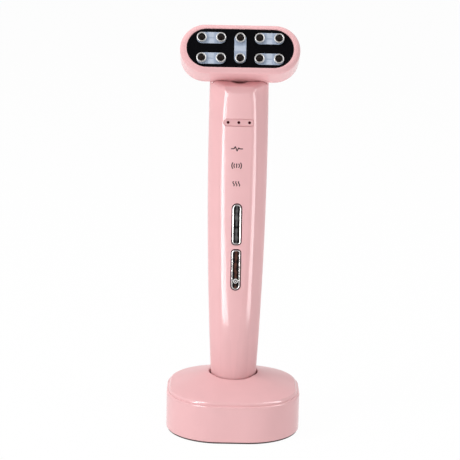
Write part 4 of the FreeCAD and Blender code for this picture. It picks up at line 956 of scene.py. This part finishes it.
# Button gaskets
# Dark maroon rubber rings that line the two slots and show as a thin outline round each button.
# They are pressed in from behind.
MAROON = (0.055, 0.010, 0.014)
GASKET_OUT = 0.42
GASKET_IN = 0.1
GASKET_SINK = 0.12
GASKET_LOW = 1.5
GASKET_BEVEL = 0.08
GASKET_BEVEL_DEPTH = 0.1
maroon_rubber = grained("maroon_rubber", MAROON, 0.5, grain=2500, mottle=0.2, depth=0.02, specular=0.15)
gasket_profile = [
    (GASKET_IN, -GASKET_LOW),
    (GASKET_OUT, -GASKET_LOW),
    (GASKET_OUT, -GASKET_SINK - GASKET_BEVEL_DEPTH),
    (GASKET_OUT - GASKET_BEVEL, -GASKET_SINK),
    (GASKET_IN + GASKET_BEVEL, -GASKET_SINK),
    (GASKET_IN, -GASKET_SINK - GASKET_BEVEL_DEPTH),
]
for name, z, upper in BUTTONS:
    gasket_outlines = [(button_outline(grow, upper), rise) for grow, rise in gasket_profile]
    gasket = skin(name + "_gasket", facet_rings(gasket_outlines, z), closed=True)
    add_piece(gasket, maroon_rubber, "wand", "maroon_rubber", name + "_button_gasket")

# Buttons
# Two long chrome-plated caps, each with a bright raised rim round a dish coloured black with a paler
# streak, a painted reflection in place of its mirror. The lower one carries a small round boss with a
# power sign near its outer end.
CHROME = (0.96, 0.95, 0.94)
# Colours of the painted reflection in each dish: black towards the rim, a grey streak on the upper button
# and a brown one on the lower.
PAINTED_REFLECTION_BLACK = (0.004, 0.003, 0.003)
PAINTED_REFLECTION_GREY = (0.12, 0.115, 0.118)
PAINTED_REFLECTION_BROWN = (0.12, 0.045, 0.030)
PAINTED_REFLECTION_FADE = (0.45, 0.75)
DISH_HALF = 1.3
DISH_DEPTH = 0.3
DISH_MARGIN = 0.05
DISH_FACING = 0.8
BUTTON_PROUD = 0.25
RIM_WIDTH = 0.5
RIM_STEPS = 14
FLANGE_GROW = 0.75
FLANGE_TOP = 1.65
FLANGE_LOW = 2.45
FLOOR_GROWS = (-0.75, -1.0, -1.3, -1.6)
BOSS_WHITE = (0.72, 0.71, 0.71)
BOSS_RADIUS = 0.98
BOSS_FOOT = -0.3
BOSS_WALL = 0.02
BOSS_TOP = 0.17
BOSS_EDGE = 0.25
BOSS_EDGE_DEPTH = 0.12
BOSS_Z = 64.6
SIGN_STROKE = 0.32
WAVE_DETAIL = 1.0


def mirror(name, colour, roughness, wave, depth, mottle):
    """Return plated plastic: a mirror with slow waves in its surface."""
    material = grained(name, colour, roughness, metallic=1.0, grain=wave, mottle=mottle, depth=depth)
    material.node_tree.nodes["Noise Texture"].inputs["Detail"].default_value = WAVE_DETAIL
    return material


def painted_reflection_dish(name, streak):
    """Return a dish colour that is a painted reflection: black towards the rim, with an uneven paler streak
    down its middle.
    """
    material = grained(name, streak, 0.2, grain=500, mottle=0, depth=0.04)
    tree = material.node_tree
    tint = tree.nodes["Color Ramp"]
    for element, position in zip(tint.color_ramp.elements, PAINTED_REFLECTION_FADE):
        element.position = position
    tint.color_ramp.elements[1].color = (*PAINTED_REFLECTION_BLACK, 1)
    spot = tree.nodes["Texture Coordinate"].outputs["Object"]
    sides = wired(tree, "ShaderNodeSeparateXYZ", {"Vector": spot})
    aside = wired(tree, "ShaderNodeMath", {0: sides.outputs["X"]}, operation="ABSOLUTE")
    terms = {0: aside, 1: 0.5 / (DISH_HALF * MM), 2: tree.nodes["Noise Texture"]}
    share = wired(tree, "ShaderNodeMath", terms, operation="MULTIPLY_ADD")
    feed(tree, tint, {"Fac": share})
    return material


def in_dish(face):
    """Tell whether a face of a cap belongs to its dish."""
    depth = face.center.y / MM + FACET
    return DISH_DEPTH - BUTTON_PROUD - DISH_MARGIN < depth < FLANGE_TOP / 2 and face.normal.y < -DISH_FACING


chrome = mirror("chrome", CHROME, 0.1, wave=600, depth=0.12, mottle=0.25)
# The dishes wear a painted reflection instead of a mirror finish.
painted_reflections = {"mode": painted_reflection_dish("grey_painted_reflection", PAINTED_REFLECTION_GREY), "power": painted_reflection_dish("brown_painted_reflection", PAINTED_REFLECTION_BROWN)}
button_profile = [
    (FLANGE_GROW, -FLANGE_LOW),
    (FLANGE_GROW, -FLANGE_TOP),
    (0.0, -FLANGE_TOP),
    (0.0, BUTTON_PROUD - 2 * DISH_DEPTH),
]
for step in range(RIM_STEPS + 1):
    turn = math.pi * step / RIM_STEPS
    grow = -RIM_WIDTH * (1 - math.cos(turn)) / 2
    button_profile.append((grow, BUTTON_PROUD - DISH_DEPTH * (1 - math.sin(turn))))
for grow in FLOOR_GROWS:
    button_profile.append((grow, BUTTON_PROUD - DISH_DEPTH))
cap_pieces = []
for name, z, upper in BUTTONS:
    button_outlines = [(button_outline(grow, upper), rise) for grow, rise in button_profile]
    cap = skin(name + "_cap", facet_rings(button_outlines, z))
    two_finishes(cap, chrome, painted_reflections[name], in_dish)
    cap_pieces.append(add_piece(cap, chrome, name + "_button", "chrome", name + "_button"))
boss_profile = [(BOSS_RADIUS, BOSS_FOOT), (BOSS_RADIUS, BOSS_WALL)]
for inset, sunk in rounded(0, 0, 1, steps=5):
    boss_profile.append((BOSS_RADIUS - BOSS_EDGE * inset, BOSS_TOP + BOSS_EDGE_DEPTH * sunk))
boss = lathe("power_boss", boss_profile, (0, 0))
move(boss, 0, -FACET, BOSS_Z, tip=90)
boss_white = grained("boss_white", BOSS_WHITE, 0.3, grain=900, mottle=0.03, depth=0.005)
add_piece(boss, boss_white, "power_button", "white_plastic")
power_sign = strokes("power_sign", [arc(0.5, 125, 415), [(0, 0.1), (0, 0.62)]], SIGN_STROKE)
move(power_sign, 0, -FACET - BOSS_TOP, BOSS_Z)
add_piece(power_sign, ink, "power_button", "dark_plastic")

# Head
# Two pink polished mouldings that meet at a fine groove: the front one is the surround of the panel, the
# rear one closes the back and carries the neck that is screwed into the handle.
HEAD_WIDTH = 48.0
HEAD_HEIGHT = 20.4
HEAD_DEPTH = 16.0
HEAD_TILT = 27.0
HEAD_FRONT_ROUND = 1.8
HEAD_BACK_ROUND = 5.0
HEAD_WALL = 1.8
HEAD_SPLIT = 10.5
HEAD_GROOVE = 0.15
HEAD_MIDDLE = (0, -10.0, 159.7)
FRONT_MARGIN = 1.0
SPLIT_MARGIN = 0.8
BACK_MARGIN = 0.8
BACK_MIDDLE = 0.5
PANEL_WIDTH = 42.5
PANEL_HEIGHT = 16.0
PANEL_SINK = 0.3
PANEL_THICKNESS = 1.6
PANEL_GAP = 0.1
PANEL_LEDGE = 1.2
LEDGE_THICKNESS = 1.0
RECESS_LIP = 0.15
LIP_MARGIN = 0.2
LIP_BEND = 0.04


def head_ring(inset, z):
    """Return a ring of the head's pill, in by an inset, at a height over its face."""
    return pill_ring(HEAD_WIDTH - 2 * inset, HEAD_HEIGHT - 2 * inset, z)


def recess_ring(grow, z):
    """Return a ring of the panel's pill, out by a margin, at a height over the face."""
    return pill_ring(PANEL_WIDTH + 2 * grow, PANEL_HEIGHT + 2 * grow, z)


def move_to_face(mesh, rise=0.0):
    """Move a mesh from the flat onto the head's tilted face, at a height over it."""
    move(mesh, 0, 0, rise)
    move(mesh, *HEAD_MIDDLE, tip=90 - HEAD_TILT)


panel_low = -PANEL_SINK - PANEL_THICKNESS
recess_profile = [
    (PANEL_GAP, panel_low),
    (PANEL_GAP, -RECESS_LIP - LIP_MARGIN),
    (PANEL_GAP, -RECESS_LIP),
    (PANEL_GAP + LIP_BEND, -LIP_BEND),
    (PANEL_GAP + RECESS_LIP, 0),
]
bezel_profile = [
    *reversed(rounded(0, 0, HEAD_FRONT_ROUND, steps=10)),
    (0, -HEAD_FRONT_ROUND - FRONT_MARGIN),
    (0, -HEAD_SPLIT / 2),
    (0, -HEAD_SPLIT + SPLIT_MARGIN),
    (0, -HEAD_SPLIT + HEAD_GROOVE),
    (HEAD_GROOVE, -HEAD_SPLIT),
    (HEAD_WALL, -HEAD_SPLIT),
    (HEAD_WALL, panel_low - LEDGE_THICKNESS),
]
bezel_rings = [recess_ring(grow, z) for grow, z in recess_profile]
bezel_rings += [head_ring(inset, z) for inset, z in bezel_profile]
bezel_rings += [recess_ring(-PANEL_LEDGE, z) for z in (panel_low - LEDGE_THICKNESS, panel_low)]
bezel = skin("bezel", bezel_rings, closed=True)
move_to_face(bezel)
add_piece(bezel, pink_gloss, "wand", "pink_gloss", "head_bezel")
inner_low = HEAD_WALL - HEAD_DEPTH
inner_profile = [
    *rounded(HEAD_WALL, inner_low, HEAD_BACK_ROUND - HEAD_WALL, steps=6, up=-1),
    (HEAD_HEIGHT / 2 - BACK_MIDDLE, inner_low),
]
rear_profile = [
    *reversed(inner_profile),
    (HEAD_WALL, -HEAD_SPLIT),
    (HEAD_GROOVE, -HEAD_SPLIT),
    (0, -HEAD_SPLIT - HEAD_GROOVE),
    *rounded(0, -HEAD_DEPTH, HEAD_BACK_ROUND, steps=12, up=-1),
    (HEAD_BACK_ROUND + BACK_MARGIN, -HEAD_DEPTH),
    (HEAD_HEIGHT / 2 - BACK_MIDDLE, -HEAD_DEPTH),
]
rear = skin("head_back", [head_ring(inset, z) for inset, z in rear_profile])
move_to_face(rear)
add_piece(rear, pink_gloss, "wand", "pink_gloss", "head_rear_shell")

# Face panel and light windows
# Black gloss panel let into the surround, with five frosted blue windows let into it: a lying pair on
# each side and an upright one in the middle. Diodes behind them light the skin.
PANEL_BLACK = (0.004, 0.004, 0.005)
WINDOW_BLUE = (0.33, 0.39, 0.50)
# The paler middle of each window is a painted glow of the diode behind it.
WINDOW_PAINTED_GLOW = (0.45, 0.505, 0.60)
ELECTRODE_PITCH = 7.7
ELECTRODE_ROW = 4.3
WINDOW_RADIUS = 2.4
WINDOW_GAP = 0.04
WINDOW_UPRIGHT = 7.9
WINDOW_LYING = 7.0
HOLE_MARGIN = 1.0
PANEL_EDGE = 0.12
PANE_EDGE = 0.15
PANE_MIDDLE = 0.3
PANE_STEPS = 12
PAINTED_GLOW_HALF = 1.1
PAINTED_GLOW_SOFT = 0.35

window_places = {
    "light_window_upper_left": (-1.5 * ELECTRODE_PITCH, ELECTRODE_ROW, False),
    "light_window_lower_left": (-1.5 * ELECTRODE_PITCH, -ELECTRODE_ROW, False),
    "light_window_middle": (0, 0, True),
    "light_window_upper_right": (1.5 * ELECTRODE_PITCH, ELECTRODE_ROW, False),
    "light_window_lower_right": (1.5 * ELECTRODE_PITCH, -ELECTRODE_ROW, False),
}


def window_ring(place, grow, z):
    """Return a ring of one window, out by a margin, at a height over the face."""
    middle_x, middle_y, upright = place
    span = WINDOW_UPRIGHT if upright else WINDOW_LYING
    height = 2 * (WINDOW_RADIUS + grow)
    ring = pill_ring(span + height, height, z)
    if upright:
        ring = [(-y, x, z) for x, y, z in ring]
    return [(middle_x + x, middle_y + y, z) for x, y, z in ring]


def frosted_window():
    """Return frosted blue plastic with a painted glow: paler in the middle of each pane, where its diode
    lies behind it.
    """
    material = grained("frosted_blue", WINDOW_BLUE, 0.5, grain=2600, mottle=0.05, depth=0.01)
    tree = material.node_tree
    along = wired(tree, "ShaderNodeAttribute", {}, attribute_name="pane_along").outputs["Fac"]
    fade = {"Value": along, "From Min": PAINTED_GLOW_HALF + PAINTED_GLOW_SOFT, "From Max": PAINTED_GLOW_HALF - PAINTED_GLOW_SOFT}
    painted_glow = wired(tree, "ShaderNodeMapRange", fade, interpolation_type="SMOOTHSTEP")
    colours = {"Color1": tree.nodes["Color Ramp"], "Color2": (*WINDOW_PAINTED_GLOW, 1)}
    mix = wired(tree, "ShaderNodeMixRGB", {"Fac": painted_glow, **colours})
    feed(tree, tree.nodes["Principled BSDF"], {"Base Color": mix})
    return material


panel_rings = [recess_ring(0, panel_low)]
for inset, z in rounded(0, -PANEL_SINK, PANEL_EDGE, steps=4):
    panel_rings.append(recess_ring(-inset, z))
panel_rings.append(recess_ring(-2 * PANEL_EDGE, -PANEL_SINK))
window_holes = [
    skin("window_hole", [window_ring(place, WINDOW_GAP, z) for z in (panel_low - HOLE_MARGIN, HOLE_MARGIN)])
    for place in window_places.values()
]
panel = carve(skin("panel", panel_rings), *window_holes)
move_to_face(panel)
black_gloss = grained("black_gloss", PANEL_BLACK, 0.05, grain=120, mottle=0.1, depth=0.002)
add_piece(panel, black_gloss, "wand", "black_gloss", "face_panel")
frosted_blue = frosted_window()
pane_profile = [(0, panel_low), *rounded(0, -PANEL_SINK, PANE_EDGE, steps=4)]
for step in range(1, PANE_STEPS):
    inset = PANE_EDGE + (WINDOW_RADIUS - PANE_MIDDLE) * step / PANE_STEPS
    pane_profile.append((inset, -PANEL_SINK))
for node, place in window_places.items():
    pane = skin(node + "_pane", [window_ring(place, -inset, z) for inset, z in pane_profile])
    away = pane.attributes.new("pane_along", "FLOAT", "POINT")
    axis = 1 if place[2] else 0
    for vertex, value in zip(pane.vertices, away.data):
        value.value = abs(vertex.co[axis] / MM - place[axis])
    move_to_face(pane)
    add_piece(pane, frosted_blue, "wand", "frosted_blue", node)

# Electrodes
# Ten chrome rings on the panel in two rows of five, each round a dark conductive stud with a rough top.
# The rings are pressed into the panel and the studs reach through to the board behind.
GRID_COUNTS = {"Vertices X": 5, "Vertices Y": 2}
RING_OUTER = 2.0
RING_INNER = 1.52
RING_RISE = 1.0
RING_ROUND = 0.19
RING_STEPS = 56
SECTION_STEPS = 5
STUD_RADIUS = 1.5
STUD_TOP = 0.75
STUD_STEPS = {"Segments": 40, "Rings": 24}
STUD_BROWN = (0.012, 0.008, 0.007)


def grid_of(tree, sizes, shape):
    """Build a grid of five by two copies of a shape, lying flat round the origin."""
    reach = {"Size X": sizes["Row length"], "Size Y": sizes["Row spacing"]}
    grid = wired(tree, "GeometryNodeMeshGrid", {**GRID_COUNTS, **reach})
    return wired(tree, "GeometryNodeInstanceOnPoints", {"Points": grid, "Instance": shape})


def electrode_rings(tree, sizes):
    """Build the grid of rings: a rounded section swept round a circle."""
    section_size = {"Width": sizes["Section width"], "Height": sizes["Section height"]}
    section = wired(tree, "GeometryNodeCurvePrimitiveQuadrilateral", section_size)
    bend = {"Curve": section, "Radius": sizes["Section round"], "Count": SECTION_STEPS}
    soft_section = wired(tree, "GeometryNodeFilletCurve", bend, mode="POLY")
    circle = {"Radius": sizes["Path radius"], "Resolution": RING_STEPS}
    path = wired(tree, "GeometryNodeCurvePrimitiveCircle", circle)
    sweep = wired(tree, "GeometryNodeCurveToMesh", {"Curve": path, "Profile Curve": soft_section})
    return grid_of(tree, sizes, sweep)


def electrode_studs(tree, sizes):
    """Build the grid of studs: low domes."""
    dome = wired(tree, "GeometryNodeMeshUVSphere", {"Radius": sizes["Radius"], **STUD_STEPS})
    flatness = wired(tree, "ShaderNodeCombineXYZ", {"X": 1, "Y": 1, "Z": sizes["Flatness"]})
    low = wired(tree, "GeometryNodeTransform", {"Geometry": dome, "Scale": flatness})
    return grid_of(tree, sizes, low)


grid_sizes = {"Row length": 4 * ELECTRODE_PITCH * MM, "Row spacing": 2 * ELECTRODE_ROW * MM}
ring_sizes = {
    **grid_sizes,
    "Section width": (RING_OUTER - RING_INNER) * MM,
    "Section height": RING_RISE * MM,
    "Section round": RING_ROUND * MM,
    "Path radius": (RING_OUTER + RING_INNER) / 2 * MM,
}
ring_chrome = mirror("ring_chrome", CHROME, 0.33, wave=500, depth=0.001, mottle=0.04)
rings = grown("rings", ring_sizes, electrode_rings, ring_chrome)
move_to_face(rings, RING_RISE / 2 - PANEL_SINK)
ring_piece = add_piece(rings, ring_chrome, "wand", "chrome", "electrode_rings")
dark_contact = grained("dark_contact", STUD_BROWN, 0.4, grain=1500, mottle=0.6, depth=0.03, specular=0.15)
stud_sizes = {**grid_sizes, "Radius": STUD_RADIUS * MM, "Flatness": STUD_TOP / STUD_RADIUS}
studs = grown("studs", stud_sizes, electrode_studs, dark_contact)
move_to_face(studs, -PANEL_SINK)
add_piece(studs, dark_contact, "wand", "dark_contact", "electrode_studs")

# Studio
# Pale floor, white surroundings and soft lights from left, right, above and low in front. Two dark
# cards give the gloss something dark to mirror, and six lamps light only the shine of named pieces.
CAMERA_PLACE = (0, -0.700, 0.242)
CAMERA_TURN = -0.7
CAMERA_PITCH = 12.8
CAMERA_ROLL = 1.2
SENSOR_WIDTH = 36.0
PICTURE_SIZE = 460
FOCUS_PIXELS = 1740
SHIFT_PIXELS = (-6.2, 0.9)
WORLD_GREY = 0.28
FLOOR_SIZE = 6.0
FLOOR_WHITE = (0.9, 0.9, 0.9, 1)
FLOOR_ROUGHNESS = 0.9
FLOOR_GLOW = 0.97
FLOOR_BOUNCE = 1.4
BOUNCE_SHARE = 0.5
CARD_BLACK = (0.003, 0.003, 0.003, 1)


def white_to_eye(tree):
    """Build a node that gives 1 for rays from the camera, mirrors and glass, and 0 for others."""
    path = tree.nodes.new("ShaderNodeLightPath").outputs
    seen = {0: path["Is Camera Ray"], 1: path["Is Glossy Ray"]}
    first = wired(tree, "ShaderNodeMath", seen, operation="MAXIMUM")
    return wired(tree, "ShaderNodeMath", {0: first, 1: path["Is Transmission Ray"]}, operation="MAXIMUM")


def flat_panel(name, width, height, place, turn, material):
    """Put a flat stage panel into the scene, facing along its turned Z axis."""
    shape = bmesh.new()
    bmesh.ops.create_grid(shape, x_segments=1, y_segments=1, size=0.5)
    mesh = solid(name, shape)
    mesh.materials.append(material)
    panel = placed(name, mesh)
    panel.location = place
    panel.rotation_euler = turn
    panel.scale = (width, height, 1)
    return panel


def soft_light(name, place, aim, width, height, power, gloss=True, matt=True):
    """Put a rectangular area light into the scene, turned towards a point."""
    light = bpy.data.lights.new(name, "AREA")
    light.shape = "RECTANGLE"
    light.size = width
    light.size_y = height
    light.energy = power
    lamp = placed(name, light)
    lamp.location = place
    lamp.rotation_euler = (Vector(aim) - Vector(place)).to_track_quat("-Z", "Y").to_euler()
    lamp.visible_camera = False
    lamp.visible_glossy = gloss
    lamp.visible_diffuse = matt
    return lamp


world = bpy.data.worlds.new("studio")
world.use_nodes = True
scene.world = world
room = world.node_tree
grey = room.nodes["Background"]
feed(room, grey, {"Color": (WORLD_GREY, WORLD_GREY, WORLD_GREY, 1)})
white = wired(room, "ShaderNodeBackground", {"Color": (1, 1, 1, 1)})
choose = wired(room, "ShaderNodeMixShader", {"Fac": white_to_eye(room), 1: grey, 2: white})
feed(room, room.nodes["World Output"], {"Surface": choose})

floor_paint = bpy.data.materials.new("floor_paint")
floor_paint.use_nodes = True
paint = floor_paint.node_tree
matt_white = paint.nodes["Principled BSDF"]
feed(paint, matt_white, {"Base Color": FLOOR_WHITE, "Roughness": FLOOR_ROUGHNESS})
seen = white_to_eye(paint)
power_terms = {0: seen, 1: 1 - FLOOR_BOUNCE, 2: FLOOR_BOUNCE}
strength = wired(paint, "ShaderNodeMath", power_terms, operation="MULTIPLY_ADD")
glow = wired(paint, "ShaderNodeEmission", {"Strength": strength})
share_terms = {0: seen, 1: FLOOR_GLOW - BOUNCE_SHARE, 2: BOUNCE_SHARE}
share = wired(paint, "ShaderNodeMath", share_terms, operation="MULTIPLY_ADD")
blend = wired(paint, "ShaderNodeMixShader", {"Fac": share, 1: matt_white, 2: glow})
feed(paint, paint.nodes["Material Output"], {"Surface": blend})
flat_panel("floor", FLOOR_SIZE, FLOOR_SIZE, (0, 0, 0), (0, 0, 0), floor_paint)

card_black = bpy.data.materials.new("card_black")
card_black.use_nodes = True
card_tree = card_black.node_tree
dull = {"Base Color": CARD_BLACK, "Roughness": 1.0, "Specular IOR Level": 0.0}
feed(card_tree, card_tree.nodes["Principled BSDF"], dull)
cards = [
    flat_panel("front_card", 0.9, 1.5, (0, -0.75, 0.75), (math.pi / 2, 0, 0), card_black),
    flat_panel("low_card", 0.24, 0.55, (0, -0.45, 0.001), (0, 0, 0), card_black),
]
for card in cards:
    card.visible_camera = False
    card.visible_diffuse = False
    card.visible_shadow = False
    card.visible_transmission = False

middle = (0, 0, 0.09)
soft_light("left_box", (-0.95, -0.55, 0.70), middle, 0.5, 0.8, 8.4, gloss=False)
soft_light("right_box", (0.95, -0.55, 0.45), middle, 0.35, 0.9, 1.6, gloss=False)
soft_light("top_box", (0, 0.05, 1.1), middle, 0.8, 0.8, 6.8, gloss=False)
soft_light("low_box", (0, -0.5, 0.03), (0, 0, 0.10), 0.5, 0.1, 0.18, gloss=False)
foot = (0, 0, 0.016)
head_front = (0, -0.01, 0.155)
gloss_lamps = [
    ("left_line", (-0.066, -0.119, 0.10), (0, 0, 0.10), 0.10, 0.2, 1.1, [front_piece]),
    ("right_line", (0.120, -0.070, 0.10), (0, 0, 0.10), 0.14, 0.2, 0.9, [front_piece]),
    ("left_spark", (-0.33, -0.215, 0.37), foot, 0.12, 0.50, 4.2, [wall_piece, cover_piece]),
    ("right_spark", (0.388, -0.068, 0.37), foot, 0.10, 0.50, 2.8, [wall_piece, cover_piece]),
    ("rim_line", (-0.20, -0.24, 0.04), (0, -0.012, 0.08), 0.36, 0.26, 2.2, cap_pieces),
    ("ring_spark", (-0.25, -0.40, 0.45), head_front, 0.2, 0.2, 0.8, [ring_piece]),
]
for name, place, aim, width, height, power, pieces in gloss_lamps:
    lamp = soft_light(name, place, aim, width, height, power, matt=False)
    mirrors = bpy.data.collections.new(name + "_mirrors")
    for piece in pieces:
        mirrors.objects.link(piece)
    lamp.light_linking.receiver_collection = mirrors

camera_data = bpy.data.cameras.new("camera")
camera_data.sensor_width = SENSOR_WIDTH
camera_data.lens = FOCUS_PIXELS / PICTURE_SIZE * SENSOR_WIDTH
camera_data.shift_x, camera_data.shift_y = [pixels / PICTURE_SIZE for pixels in SHIFT_PIXELS]
camera = placed("camera", camera_data)
turn = Matrix.Rotation(math.radians(CAMERA_TURN), 3, "Z")
pitch = Matrix.Rotation(math.radians(90 - CAMERA_PITCH), 3, "X")
roll = Matrix.Rotation(math.radians(CAMERA_ROLL), 3, "Z")
camera.location = turn @ Vector(CAMERA_PLACE)
camera.rotation_euler = (turn @ pitch @ roll).to_euler()
scene.camera = camera
scene.view_settings.view_transform = "Standard"
